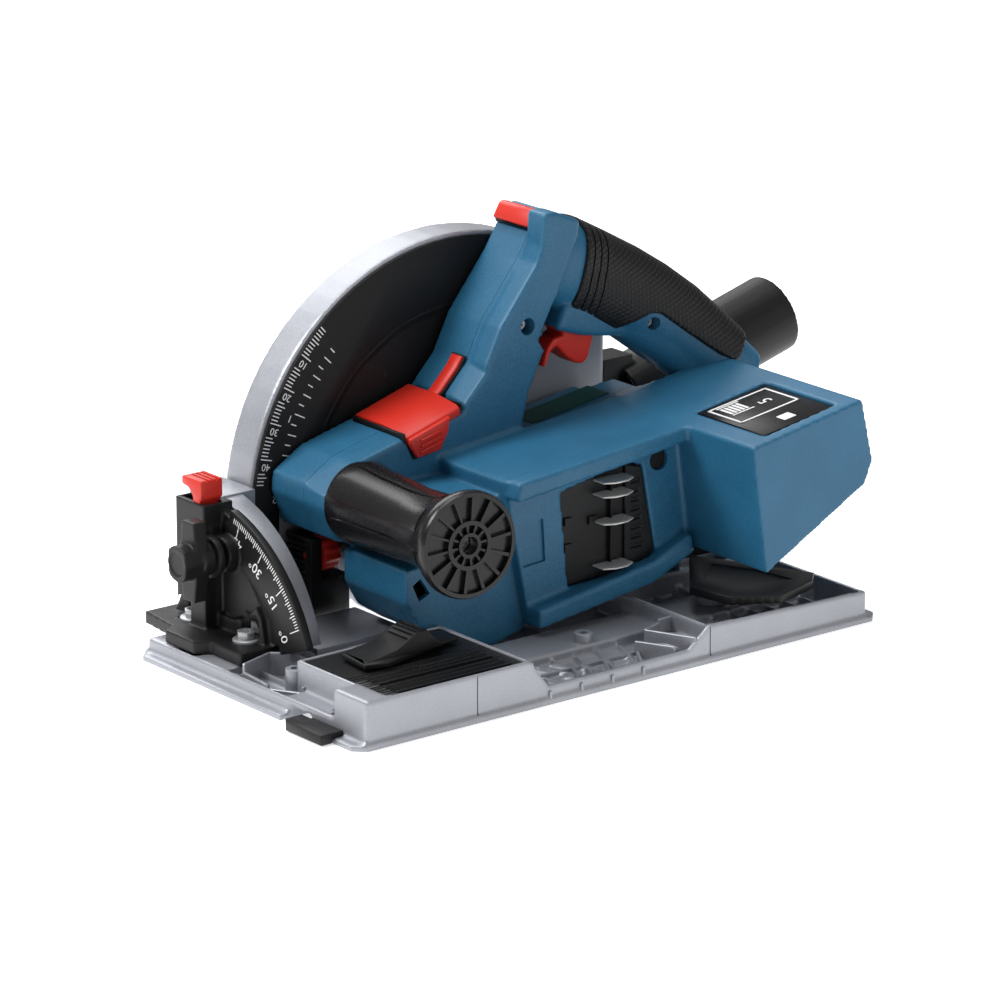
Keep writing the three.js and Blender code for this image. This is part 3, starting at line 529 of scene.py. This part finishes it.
def rail_clamps():
    """The ridged lever and the pressed plate that set the play on the guide rail."""
    lever = from_cad("front_rail_lever", name="lever")
    grip = [box(x, x + 1.1, 32, 48, 26, 40) for x in (92, 95, 98, 101, 104)]
    cut(lever, join(*grip))
    edge(lever, 0.5)
    fit(lever, "front_rail_lever_ridged", "front_rail_lever", BLACK, "black_plastic", "front_rail_lever")
    plate = from_cad("rear_rail_plate", name="plate")
    cut(plate, prism("xy", [(-90, 46), (-100, 66), (-128, 72), (-124, 50), (-112, 26)], 24.2, 26))
    edge(plate, 0.5)
    fit(plate, "rear_rail_plate_pressed", "rear_rail_plate", BLACK, "black_plastic", "rear_rail_plate")


def bolt_head(x, y, z, radius, height):
    """A hexagon head with a star recess."""
    head = prism("xy", circle(x, y, radius, 6), z, z + height)
    star = [point for i in range(6) for point in arc(x, y, 2.6 if i % 2 else 1.7, i * 60, i * 60 + 30, 2)]
    cut(head, prism("xy", star, z + height - 2, z + height + 1))
    return edge(head, 0.5, 2)


def bracket_bolts(end, x):
    """A bolt and its washer on each foot of one bracket."""
    for i, y in enumerate((-86, -40)):
        node = f"{end}_bracket_bolt_{i + 1}"
        low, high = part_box(node)
        z = high.z / MM - 4
        washer = lathe([(2.4, 0), (7, 0), (7, 1.3), (6.4, 1.7), (2.4, 1.7)], (x, y, z - 1.7), (x, y, z), 40)
        shank = lathe([(0.4, 0), (2.3, 0), (2.3, 6), (0.4, 6)], (x, y, low.z / MM), (x, y, z), 20)
        screw = join(bolt_head(x, y, z, 5, 4), washer, shank)
        fit(screw, f"{node}_screw", "base", ZINC, "steel", node)


# ---------------------------------------------------------------- bevel brackets
def tick(centre_y, centre_z, x, inner, outer, degrees, wide=0.45):
    """A painted line on the tilt scale, pointing at the scale's centre."""
    half = math.degrees(wide / 2 / inner)
    outline = sector(centre_y, centre_z, inner, outer, degrees - half, degrees + half, 1)
    return prism("yz", outline, x, x + 0.16)


def scale_face():
    """Where the painted face of the tilt scale is, in x."""
    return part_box("front_bevel_bracket")[0].x / MM + BRACKET_PLATE + SCALE["lead"]


def brackets():
    """The bevel brackets: the front one with its flare, buttress and scale band, the rear one with webs."""
    front = from_cad("front_bevel_bracket", name="front")
    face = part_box("front_bevel_bracket")[0].x / MM
    y, z = CLAMP["y"], CLAMP["z"]
    flare = lathe([(1, 0), (14, 0), (13, 7), (10, 9), (9, 15), (9, 18.4), (1, 18.4)], (face, y, z),
        (face + 10, y, z), 48)
    buttress = prism("xz", [(face + 5, 44), (face + 8, 34), (face + 13, 26), (face + 22, 20),
        (face + 33, 17.5), (face + 33, 14), (face + 5, 14)], -76, -56)
    toe = prism("xz", [(face + 4, 30), (face + 10, 22), (face + 20, 17), (face + 4, 14)], -46, -42)
    round_knob = cut(disc("yz", y, z, 34, face + 7.3, face + 16),
        disc("yz", y, z, CLAMP["collar"], face + 6, face + 18), box(face, face + 30, -100, -66.5, 0, 120))
    skin = cut(join(front, flare, buttress, toe), box(face - 2, face + 40, -95, -64, 82.6, 90), round_knob)
    soften(skin, 0.8, 3, 0.3)
    arch = sector(SCALE["y"], SCALE["z"], SCALE["inner"], SCALE["outer"], 20, 76)
    band = prism("yz", arch, scale_face() - 4.5, scale_face())
    fit(join(skin, edge(band, 0.7)), "front_bevel_bracket_ribbed", "base", BLACK, "black_plastic",
        "front_bevel_bracket")
    rear = from_cad("rear_bevel_bracket", name="rear")
    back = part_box("rear_bevel_bracket")[1].x / MM
    webs = [prism("xz", [(back - 5, 16), (back - 20, 16), (back - 5, 44)], side, side + 2.4)
        for side in (-50, -38)]
    soften(join(rear, *webs), 0.75, 3, 0.3)
    fit(rear, "rear_bevel_bracket_ribbed", "base", BLACK, "black_plastic", "rear_bevel_bracket")


def tilt_scale():
    """Degree marks on the raised band of the front bracket, from 0 at the lower end to 48."""
    x = scale_face()
    marks = []
    figures = []
    for degrees in range(0, 49):
        inner = 81.5 if degrees % 15 == 0 else 85.6 if degrees % 5 == 0 else 87.2
        angle = SCALE["zero"] + degrees * SCALE["step"]
        marks.append(tick(SCALE["y"], SCALE["z"], x, inner, 90, angle))
    for value in (0, 15, 30, 45):
        angle = math.radians(SCALE["zero"] + value * SCALE["step"])
        out = Vector((0, math.cos(angle), math.sin(angle)))
        around = Vector((0, -math.sin(angle), math.cos(angle)))
        origin = Vector((x + 0.05, SCALE["y"], SCALE["z"])) + out * (75.5 + value / 15)
        figures.append(lettering(f"{value}°", 8, plane_matrix(around, -out, origin)))
    fit(join(*marks), "tilt_scale_marks", "base", WHITE_INK, "black_plastic")
    fit(join(*figures), "tilt_scale_figures", "base", WHITE_INK, "black_plastic")


def wing_knobs():
    """The two clamp knobs, and the red slide with its hooked top."""
    for end, sign in (("front", 1), ("rear", -1)):
        node = f"{end}_wing_knob"
        low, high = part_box(node)
        y, z = (low.y + high.y) / 2 / MM, (low.z + high.z) / 2 / MM
        knob = from_cad(node, name="knob")
        tip = high.x / MM if sign > 0 else low.x / MM
        near, far = sorted((tip - sign * 7, tip + sign * 2))
        shoulder = cut(disc("yz", y, z, 34, near, far), disc("yz", y, z, CLAMP["collar"], near - 1, far + 1))
        dish = disc("yz", y, z, 6.5, *sorted((tip - sign * 0.7, tip + sign * 2)))
        soften(cut(knob, shoulder, dish), 0.6, 4, 0.35)
        fit(knob, f"{end}_wing_knob_moulded", f"{end}_wing_knob", BLACK, "black_plastic", node)
    low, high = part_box("undercut_slide")
    x0, x1, top = low.x / MM, high.x / MM, high.z / MM - 2.5
    foot = low.z / MM
    hook = [(-70.5, top), (-70.5, top - 10), (-72, top - 10), (-72, foot), (-78, foot), (-78, top - 10),
        (-79.5, top - 7.5), (-82, top - 5.5), (-87.5, top - 4.6), (-87.5, top - 0.6), (-86, top)]
    slide = edge(prism("yz", hook, x0 + 0.5, x1), 0.7)
    cut(slide, *[box(x, x + 1.2, -88, -69, top - 1, top + 1) for x in (x0 + 3, x0 + 6, x0 + 9)])
    fit(slide, "undercut_slide_ridged", "undercut_slide", RED, "red_plastic", "undercut_slide")


# ---------------------------------------------------------------- guard
def guard_shell():
    """The cast guard with its scale plate, curved bevel segments and skirt."""
    shell = from_cad("guard_shell", name="shell")
    soften(shell, 1.1, 3, 0.25)
    fit(shell, "guard_shell_cast", "guard", CAST, "cast_aluminium", "guard_shell")
    plate = edge(from_cad("depth_scale_plate", name="plate"), 0.35)
    fit(plate, "depth_scale_plate_painted", "guard", BLACK_PAINT, "black_plastic", "depth_scale_plate")
    for end in ("front", "rear"):
        node = f"{end}_bevel_segment"
        fit(edge(from_cad(node, name=node), 0.6), f"{node}_rounded", "guard", CAST, "cast_aluminium", node)
    skirt = edge(from_cad("guard_skirt", name="skirt"), 0.7)
    fit(skirt, "guard_skirt_rounded", "guard", CAST, "cast_aluminium", "guard_skirt", sharp=50)


def guard_liner():
    """The dark inside of the guard that shows within the scale ring: a bevelled edge, a wall and ribs."""
    x, z, near = GUARD["x"], GUARD["z"], GUARD["near"]
    wall = prism("xz", sector(x, z, 40, 96.2, 0, 128, 48), near + 0.05, near + 0.9)
    lip = prism("xz", sector(x, z, 92, 96.2, 4, 112, 40), near + 0.05, near + 2)
    for vertex in lip.data.vertices:
        out = math.hypot(vertex.co.x / MM - x, vertex.co.z / MM - z)
        if vertex.co.y / MM > near + 1.5 and out < 94:
            vertex.co.y = (near + 0.9) * MM
    ribs = [prism("xz", sector(x, z, 44, 78, angle - 0.4, angle + 0.4, 1), near + 0.5, near + 1.4)
        for angle in range(20, 126, 35)]
    liner = join(wall, lip, *ribs)
    soften(liner, 0.55, 2, 0.3)
    swing = sector(PLUNGE["x"], PLUNGE["z"], 113.5, 146.5, -14.5, 36.5)
    cut(liner, prism("xz", swing, near - 2, near + 4))
    fit(liner, "guard_liner_ribbed", "guard", BLACK_PAINT, "black_plastic", sharp=40)


def depth_scale():
    """Cutting depth marks round the guard: millimetres on the outer edge, eighths of an inch inside."""
    x, z, near = GUARD["x"], GUARD["z"], GUARD["near"] + 2
    marks = []
    figures = []
    zero, step = 49.0, 0.855  # degrees round the guard at zero depth, and for each millimetre
    eighth_inch = 3.175
    for depth in range(1, 48):
        if depth % 10 in (1, 2, 3) and depth > 9:
            continue
        inner = 123 if depth % 10 == 0 else 124.6 if depth % 5 == 0 else 126
        angle = zero - depth * step
        marks.append(prism("xz", sector(x, z, inner, 130.2, angle - 0.13, angle + 0.13, 1), near, near + 0.16))
    for eighth in range(1, 16):
        inner = 110 if eighth % 8 == 0 else 111.5 if eighth % 2 == 0 else 113.5
        angle = zero - eighth * step * eighth_inch
        marks.append(prism("xz", sector(x, z, inner, 117, angle - 0.15, angle + 0.15, 1), near, near + 0.16))
    labels = [(value, value + 2, 126) for value in (10, 20, 30, 40)]
    labels += [(1, 27.2, 119), (2, 51.5, 118)]
    for value, depth, radius in labels:
        angle = math.radians(zero - depth * step)
        out = Vector((math.cos(angle), 0, math.sin(angle)))
        around = Vector((-math.sin(angle), 0, math.cos(angle)))
        origin = Vector((x, near + 0.05, z)) + out * radius
        figures.append(lettering(str(value), 5.4, plane_matrix(out, -around, origin)))
    fit(join(*marks), "depth_scale_marks", "guard", WHITE_INK, "black_plastic")
    fit(join(*figures), "depth_scale_figures", "guard", WHITE_INK, "black_plastic")


def dust_port():
    port = from_cad("dust_port", name="port")
    soften(port, 0.9, 3, 0.35)
    fit(port, "dust_port_moulded", "guard", BLACK, "black_plastic", "dust_port")


def depth_stop():
    """The ribbed slider on the depth scale and its red wheel."""
    stop = from_cad("depth_stop", name="stop")
    grooves = [box(82.8, 86, -82, -66, z, z + 1.2) for z in range(30, 53, 3)]
    cut(stop, join(*grooves))
    edge(stop, 0.4)
    fit(stop, "depth_stop_ribbed", "depth_stop", BLACK, "black_plastic", "depth_stop")
    wheel = edge(from_cad("depth_wheel", name="wheel"), 0.5)
    fit(wheel, "depth_wheel_knurled", "depth_wheel", RED, "red_plastic", "depth_wheel")


# ---------------------------------------------------------------- housing
def screw_hole(x, y, z, radius=3.4, depth=9):
    return disc("xz", x, z, radius, y - depth, y + 2, 24)


def screws():
    """Star screws at the bottom of the wells in the housing and the handle."""
    for name, x, y, z in (("column", -37, -41, 153), ("handle", -120, -38, 141.5)):
        screw = lathe([(0.8, 0), (2.9, 0), (2.9, 1.2), (2.2, 1.9), (0.8, 1.9)], (x, y, z), (x, y + 2, z), 24)
        fit(screw, f"{name}_screw", "unit", ZINC, "steel")


def front_chamfer():
    """A shallow wedge that breaks the near edge of the nose and the column."""
    path = [(99, 70), (95.5, 87), (77, 100.5), (41, 109.5), (16, 114.5), (5.5, 119.3), (-10, 135.3),
        (-20, 155.3), (-44, 185.3), (-47, 190), (-47, 214)]
    rings = []
    for i, (x, z) in enumerate(path):
        before = Vector(path[max(i - 1, 0)])
        after = Vector(path[min(i + 1, len(path) - 1)])
        along = (after - before).normalized()
        out = Vector((along.y, -along.x))
        rings.append([(x + out.x * reach, y, z + out.y * reach)
            for reach, y in ((0.15, -52), (-1.9, -33), (9, -33), (9, -52))])
    points = [point for ring in rings for point in ring]
    faces = [(4 * i + j, 4 * i + (j + 1) % 4, 4 * i + 4 + (j + 1) % 4, 4 * i + 4 + j)
        for i in range(len(path) - 1) for j in range(4)]
    last = 4 * (len(path) - 1)
    return new_piece("wedge", points, faces + [(3, 2, 1, 0), (last, last + 1, last + 2, last + 3)])


def trigger_room():
    """Air round the trigger, up to where it goes when it is pulled."""
    return prism("xz", [(-52, 118), (-58, 141), (-64, 152), (-76, 154), (-97, 147), (-102, 118)], -61.5, -42.5)


def behind_column():
    """What is taken off the near side of the column where the hand grip starts."""
    return prism("xz", [(-71.8, 214), (-71, 197), (-57.5, 168), (-48, 152), (-44.5, 144), (-50, 136),
        (-110, 136), (-110, 214)], -49, -20)


def housing():
    """Both halves in one mould: one skin, rounded together, then parted along the middle of the column.
    A slice of the near half, moved back, bridges the gap between them, and a core fills the hollow behind
    the chamfered edge."""
    left = from_cad("housing_left", name="left")
    seam = cut(from_cad("housing_left", name="seam"), box(-300, 300, -50.2, 300, -300, 300))
    seam.data.transform(Matrix.Translation((0, -1.5 * MM, 0)))
    right = from_cad("housing_right", name="right")
    cap = prism("xz", [(-9.7, 135.2), (-19.7, 155.2), (-43.6, 185.2), (-47, 194), (-48.2, 211), (-56, 211),
        (-72, 204.3), (-71, 197), (-57, 168), (-44.6, 144), (-28, 124), (-12, 124)], -49, COLUMN_NEAR)
    edge(cap, 1.6, 2)
    seat = prism("xz", [(-46, 188), (-52.6, 198.4), (-61.8, 195.4), (-61.8, 188)], BODY_FAR, -48.5)
    top = prism("xz", [(-62.3, 191), (-62.3, 208.2), (-72, 204), (-71, 190), (-57, 168), (-47, 186)],
        BODY_FAR, -48)
    inside = prism("xz", [(94, 76), (92, 86), (75, 98.5), (41, 107.5), (14, 112.5), (4.5, 117.5),
        (-10.5, 133.5), (-20.5, 153.5), (-45, 184.5), (-58, 184), (-30, 142), (-14, 112), (30, 96), (70, 86),
        (80, 74)], -54, -35)
    cut(inside, prism("xz", [(44, 104.3), (44, 125), (4, 128), (4, 114.3)], -78, -33))
    skins = [cut(skin, front_chamfer(), behind_column()) for skin in (left, seam, right, inside)]
    skins += [cap, top, seat]
    shell = soften(join(*skins), 1.15, 4, 0.3)
    holes = [screw_hole(-37, COLUMN_NEAR, 153, 4.6), disc("xz", -79, 87, 6, BAY_FACE - 2.2, 30, 32)]
    square_hole = prism("xz", [(72, 38), (76, 47), (71, 50), (65, 41)], 5, 16)
    shallow_panel = prism("xz", [(10.4, 45.5), (11.8, 68.8), (-2.5, 69.5), (-4, 46.5)], BAY_FACE - 1.5, 24)
    groove = prism("xz", [(-104, 46), (-104.8, 74), (-106, 74), (-106, 46)], 0, 60)
    cut(shell, *holes, trigger_room(), square_hole, shallow_panel, groove)
    right = copied(shell)
    half_gap = 0.12
    cut(shell, box(-300, 300, -300, COLUMN_SPLIT + half_gap, -300, 300))
    cut(right, box(-300, 300, COLUMN_SPLIT - half_gap, 300, -300, 300))
    fit(shell, "housing_left_moulded", "unit", BLUE, "blue_housing", "housing_left", sharp=48)
    fit(right, "housing_right_moulded", "unit", BLUE, "blue_housing", "housing_right", sharp=48)
    # A thin black disc at the bottom of the hole in the bay: painted shade, standing in for the darkness at the
    # floor of the hole, not a part of the saw.
    hole_shade_disc = disc("xz", -79, 87, 5.9, BAY_FACE - 2.5, BAY_FACE - 2.1, 32)
    fit(hole_shade_disc, "bay_hole_painted_shade_disc", "unit", BLACK, "black_plastic")
    label = prism("xz", [(-56, 92.9), (-60, 93), (-108, 100.4), (-108, 100.9), (-60, 93.5), (-56, 93.4)],
        -72, -54)
    fit(edge(label, 0.15, 1), "blank_label", "unit", LABEL, "blue_housing")


HANDLE_PATH = [(-52, -54, 187), (-66, -54, 181), (-88, -53, 170), (-108, -50, 159.5), (-124, -47, 150),
    (-140, -44, 138.5), (-152, -41, 128), (-166, -37, 115.5), (-177, -34, 106)]


def bar(sizes, start=0, power=2.6, steps=40, name="bar"):
    """A hand-sized bar along the handle's path, its section a soft rectangle of (half width, half height)."""
    path = [Vector(point) for point in HANDLE_PATH[start:start + len(sizes)]]
    points = []
    for i, ((wide, tall), centre) in enumerate(zip(sizes, path)):
        along = (path[min(i + 1, len(path) - 1)] - path[max(i - 1, 0)]).normalized()
        side = Vector((0, 1, 0))
        up = along.cross(side).normalized()
        up = up if up.z > 0 else -up
        for j in range(steps):
            angle = 2 * math.pi * j / steps
            c, q = math.cos(angle), math.sin(angle)
            across = math.copysign(abs(c) ** (2 / power), c) * wide
            high = math.copysign(abs(q) ** (2 / power), q) * tall
            points.append(tuple(centre + side * across + up * high))
    faces = []
    for i in range(len(path) - 1):
        ring, after = i * steps, (i + 1) * steps
        faces += [(ring + j, ring + (j + 1) % steps, after + (j + 1) % steps, after + j) for j in range(steps)]
    last = (len(path) - 1) * steps
    faces += [tuple(range(steps)), tuple(range(last, last + steps))]
    return new_piece(name, points, faces)


def handles():
    """The main handle, and the ringed rubber grip over it."""
    core = bar([(18, 20), (18.6, 23), (18.2, 23.4), (16.4, 21.6), (16.2, 20.5), (16, 19.5), (16.5, 18.5),
        (18, 17), (19, 15)])
    under = bar([(13, 16), (14.5, 18), (15, 18.5), (15, 18), (15, 16.5), (14, 14)], 3, name="under")
    under.data.transform(Matrix.Translation(Vector((1, 0, -7.5)) * MM))
    lower = prism("xz", [(-66, 160), (-60, 146), (-78, 140), (-100, 136), (-118, 132), (-112, 150)], -66, -38)
    pod_room = prism("xz", [(-90, 104.5), (-164, 117.5), (-172, 84), (-100, 80)], -31.5, 90)
    handle = soften(join(core, under, edge(lower, 3, 3)), 1.1, 5, 0.35)
    holes = [screw_hole(-120, -32, 141.5, 3.6, 9), screw_hole(-165, -19, 111, 3.4, 9)]
    cut(handle, trigger_room(), *holes, pod_room)
    fit(handle, "main_handle_moulded", "unit", BLUE, "blue_housing", "main_handle", sharp=60)
    skin = bar([(21, 25.6), (19.6, 25), (18.4, 24.2), (17.9, 23.2), (18, 22.4), (18.6, 21.4), (19.6, 20)], 1)
    keep = prism("xz", [(-79, 212), (-80, 196), (-68, 152), (-73, 145), (-94, 138.5), (-117, 147.5),
        (-123, 147), (-158, 120), (-167, 116), (-188, 128), (-160, 205)], -90, 0)
    combine(skin, "INTERSECT", edge(keep, 2.5, 3))
    soften(skin, 0.9, 4, 0.4)
    rings = [prism("xz", [(x, 200), (x + 1.1, 200), (x + 13.1, 150), (x + 12, 150)], -90, 0)
        for x in (-86, -91, -96)]
    inner = bar([(20.3, 24.9), (18.9, 24.3), (17.7, 23.5), (17.2, 22.5), (17.3, 21.7), (17.9, 20.7),
        (18.9, 19.3)], 1, name="groove_floor")
    grooves = [cut(ring, other) for ring, other in zip(rings, (inner, *[copied(inner) for _ in rings[1:]]))]
    cut(skin, *grooves)
    fit(skin, "handle_grip_moulded", "unit", GRIP, "black_rubber", "handle_grip", sharp=50)


def stub_handle():
    """The front handle: a waisted tube with raised pads and a spoked end cap."""
    start, end = STUB["start"], STUB["end"]
    tube_profile = [(4.6, 0.5), (20.6, 0.5), (21.4, 6), (21, 14), (19.4, 30), (18.4, 60), (19.6, 80), (23, 93),
        (26.4, 99), (27.4, 102), (27.4, 105.6), (26.6, 106.9), (24.6, 107), (24.2, 104), (4.6, 104)]
    body = lathe(tube_profile, start, end, 96)
    axis = (Vector(end) - Vector(start)).normalized()
    turn = Vector((0, 0, 1)).rotation_difference(axis)

    def polar(radius, degrees, along):
        angle = math.radians(degrees)
        return tuple(Vector(start) + turn @ Vector((radius * math.cos(angle), radius * math.sin(angle), along)))

    def cell(inner, outer, middle, half, low, high):
        """A block bounded by two radii and two angles."""
        corners = []
        for along in (low, high):
            for radius, side in ((inner, -half), (outer, -half), (outer, half), (inner, half)):
                corners.append(polar(radius, middle + side, along))
        return new_piece("cell", corners, BLOCK_FACES)

    spokes = [cell(12.5, 24.4, i * 360 / 14, 2.2, 103.5, 106.6) for i in range(14)]
    spokes += [cell(5.5, 10.5, i * 360 / 12, 4, 103.5, 106.4) for i in range(12)]
    rings = [lathe([(4.6, 103.5), (6.4, 103.5), (6.4, 107), (4.6, 107)], start, end, 48),
        lathe([(10.4, 103.5), (12.6, 103.5), (12.6, 106.9), (10.4, 106.9)], start, end, 48)]
    shoe = lathe([(19, 8), (22.2, 9), (20.6, 30), (19.4, 60), (20.4, 80), (22.4, 89), (18, 90)], start, end, 96)
    strips = [cell(17, 26, middle, 17, 8.5, 89) for middle in (20, 80, 140, 200, 260, 320)]
    combine(shoe, "INTERSECT", join(*strips))
    edge(shoe, 0.35, 2, 40)
    handle = join(body, shoe, *spokes, *rings)
    cut(handle, box(30, 130, -90, COLUMN_NEAR + 0.35, 30, 140))
    fit(handle, "stub_handle_spoked", "unit", GLOSS_BLACK, "black_plastic", "stub_handle", sharp=40)


def lever_shell():
    """The lever: a saddle over the nose whose near side turns down into a ribbed thumb plate."""
    rows = [(-77, 0), (-53, 0), (-36.5, -2), (LEVER_INSIDE, -3.5)]
    under = [(42, 107), (24, 112), (7, 117.3)]
    over = [(42.6, 110.6), (24, 116.2), (8, 121)]
    points, faces = [], []
    for y, drop in rows:
        points += [(x, y, z + drop) for x, z in under] + [(x, y, z + drop) for x, z in reversed(over)]
    for i in range(len(rows) - 1):
        faces += [(6 * i + j, 6 * i + (j + 1) % 6, 6 * i + 6 + (j + 1) % 6, 6 * i + 6 + j) for j in range(6)]
    last = 6 * (len(rows) - 1)
    saddle = new_piece("lever", points, faces + [tuple(range(6)), tuple(range(last, last + 6))])
    plate = prism("xz", [(37.6, 96.4), (42, 104.5), (42, 107.2), (24, 112.6), (16.4, 115), (17.4, 107.6),
        (22.5, 98.4)], LEVER_INSIDE, LEVER_FACE)
    return edge(saddle, 0.5, 2), edge(plate, 0.8, 2)


def controls():
    """The blade change lever over its black seat, the trigger and the lock button."""
    saddle, plate = lever_shell()
    ridges = []
    for z in (101.4, 104.4, 107.4):
        outline = [(22, z + 1), (36, z - 2.6), (36, z - 1.2), (22, z + 2.4)]
        ridges.append(edge(prism("xz", outline, LEVER_FACE - 0.5, LEVER_FACE + 0.9), 0.3, 1))
    climb = [(14, 116.2), (9, 117.6), (4.5, 121), (-1, 126.6), (-6, 131.8), (-9.5, 137)]
    ribbon = edge(prism("xz", climb + [(x + 1.5, z + 1.2) for x, z in reversed(climb)], -61, -52.5), 0.3, 1)
    lever = join(saddle, plate, *ridges, ribbon)
    fit(lever, "blade_change_lever_ribbed", "blade_change_lever", RED, "red_plastic", "blade_change_lever",
        sharp=50)
    seat = prism("xz", [(44, 104.6), (44, 109.4), (24, 115), (6.6, 119.8), (5, 116)], -77.8, -34)
    room = prism("xz", [(42.8, 106), (42.8, 112), (24, 118), (8, 123), (6.8, 117), (24, 111.8)], -77.2, -30)
    rim = prism("xz", [(38.2, 94.8), (43, 105), (42.4, 106), (15.8, 113.4), (16.4, 107), (21.6, 97)],
        -34.4, -33.85)
    fit(edge(join(cut(seat, room), rim), 0.2, 1), "blade_change_lever_seat", "unit", BLACK, "black_plastic")
    line = [(10.5, 116.8), (4.6, 120.4), (-1.4, 126), (-6.4, 131), (-10.4, 137.6)]
    under = prism("xz", line + [(x + 0.9, z + 0.7) for x, z in reversed(line)], -62.2, -51.4)
    fit(under, "lever_strip_seat", "unit", BLACK, "black_plastic")
    pull = [(-70, 141), (-66, 145.5), (-72, 147), (-88, 142), (-90, 138), (-86, 125.5), (-83, 123.2),
        (-78, 124), (-72, 128), (-67, 133.5), (-64.5, 135.5), (-61, 133), (-57.5, 125), (-55.5, 126),
        (-58.5, 135), (-63, 140)]
    trigger = soften(edge(prism("xz", pull, -59.5, -44.5), 1.5, 2), 0.7, 5, 0.35)
    fit(trigger, "trigger_curved", "trigger", RED, "red_plastic", "trigger", sharp=60)
    outline = [(-49.3, 200.8), (-53.6, 208.2), (-55.5, 209.2), (-60, 208), (-58.5, 198)]
    button = edge(prism("xz", outline, -79.6, -50.3), 0.9, 2)
    fit(button, "plunge_lock_button_moulded", "plunge_lock_button", RED, "red_plastic", "plunge_lock_button",
        sharp=60)
    neck = prism("xz", [(-50.4, 201.5), (-51.4, 198.2), (-60, 195.4), (-59, 199)], -79.2, -50.4)
    fit(edge(neck, 0.2, 1), "plunge_lock_button_neck", "plunge_lock_button", BLACK, "black_plastic")


def display():
    """The screen in its recess: a lit panel with a battery gauge and a setting figure."""
    panel = edge(from_cad("display_panel", name="panel"), 0.3)
    fit(panel, "display_panel_glass", "unit", SCREEN, "display_screen", "display_panel")
    start, stop = Vector((-104.5, 0, 107.5)), Vector((-151.5, 0, 114.5))
    along = (stop - start).normalized()
    up = Vector((0, 1, 0)).cross(along)
    up = up if up.z > 0 else -up
    middle = (start + stop) / 2 + up * 0.1

    def strip(u0, u1, v0, v1):
        corners = [middle + along * u + Vector((0, v, 0)) + up * h for h in (0, 0.25)
            for u, v in ((u0, v0), (u1, v0), (u1, v1), (u0, v1))]
        return new_piece("strip", [tuple(corner) for corner in corners], BLOCK_FACES)

    ink = [strip(-20, 20, 26, 27.2), strip(-20, 20, 52, 53.2), strip(-20, -18.8, 26, 53.2),
        strip(18.8, 20, 26, 53.2)]
    for i in range(5):
        ink.append(strip(-15 + i * 2.6, -13.4 + i * 2.6, 30, 40))
    ink.append(strip(-15.6, -1, 41, 42))
    ink.append(strip(-15.6, -1, 28, 29))
    ink.append(strip(-4, 4, 62, 69))
    fit(join(*ink), "display_marks", "unit", WHITE_INK, "display_screen")
    origin = middle + along * 8 + Vector((0, 40, 0)) + up * 0.2
    figure = lettering("5", 11, plane_matrix((0, -1, 0), along * -1, origin))
    fit(figure, "display_figure", "unit", WHITE_INK, "display_screen")


def battery_bay():
    """The black contact block, sunk in the blue frame, with a slotted column and four standing blades."""
    low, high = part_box("contact_block")
    floor_y, front_y = low.y / MM, high.y / MM
    contacts = [(-14.5, 80.5), (-57.7, 88.4), (-67.4, 85.6), (-76.4, 38.4), (-67.8, 31.6), (-19.4, 29.6)]
    block = prism("xz", contacts, floor_y, floor_y + 1.4)
    column = prism("xz", [(-57, 31), (-57, 88), (-67, 85.3), (-76, 39), (-67.8, 32)], floor_y, front_y)
    slots = []
    for z in range(42, 82, 5):
        end = -69 + (z - 40) * 0.08
        outline = [(-61, z), (-61, z + 2.2), (end, z + 2.2), (end, z)]
        slots.append(prism("xz", outline, front_y - 1.2, front_y + 1))
    cut(column, join(*slots))
    hooks = [box(x - 2.5, x + 2.5, floor_y + 1, floor_y + 3, z, z + 4)
        for x, z in ((-20, 62), (-20, 48), (-36, 60))]
    hooks += [box(-47.6, -46.8, floor_y, front_y + 0.6, 37.5, 82)]
    block = join(edge(block, 0.3, 1), edge(column, 0.4, 1), *hooks)
    fit(block, "contact_block_slotted", "unit", BLACK, "black_plastic", "contact_block")
    for i in range(4):
        node = f"battery_contact_{i + 1}"
        start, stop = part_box(node)
        x0, x1, y1, z = start.x / MM, stop.x / MM, stop.y / MM + 1.5, start.z / MM
        plan = [(x0 - 1, floor_y + 1), (x1 + 1, floor_y + 1), (x1 + 1, y1 - 3), (x1 - 5, y1), (x0 + 5, y1),
            (x0 - 1, y1 - 3)]
        fit(edge(prism("xy", plan, z, z + 0.9), 0.2, 1), f"{node}_blade", "unit", NICKEL, "steel", node)


def carried_over():
    """CAD nodes whose shape is right keep it, with a better finish."""
    finish = {"steel": STEEL, "blade_steel": BLADE, "copper_winding": COPPER, "circuit_board": BOARD,
        "black_plastic": BLACK, "cast_aluminium": CAST, "red_plastic": RED, "black_rubber": RUBBER,
        "blue_housing": BLUE, "display_screen": SCREEN}
    for part in frame["record"]["subparts"]:
        node = frame["nodes"][part["node"]]
        node.data.materials.clear()
        node.data.materials.append(finish[part["material_slot"]])


camera_and_light()
floor()
carried_over()
base_casting()
rail_clamps()
for end, x in (("front", 140), ("rear", -142.5)):
    bracket_bolts(end, x)
brackets()
tilt_scale()
wing_knobs()
guard_shell()
guard_liner()
depth_scale()
dust_port()
depth_stop()
housing()
screws()
handles()
stub_handle()
controls()
display()
battery_bay()
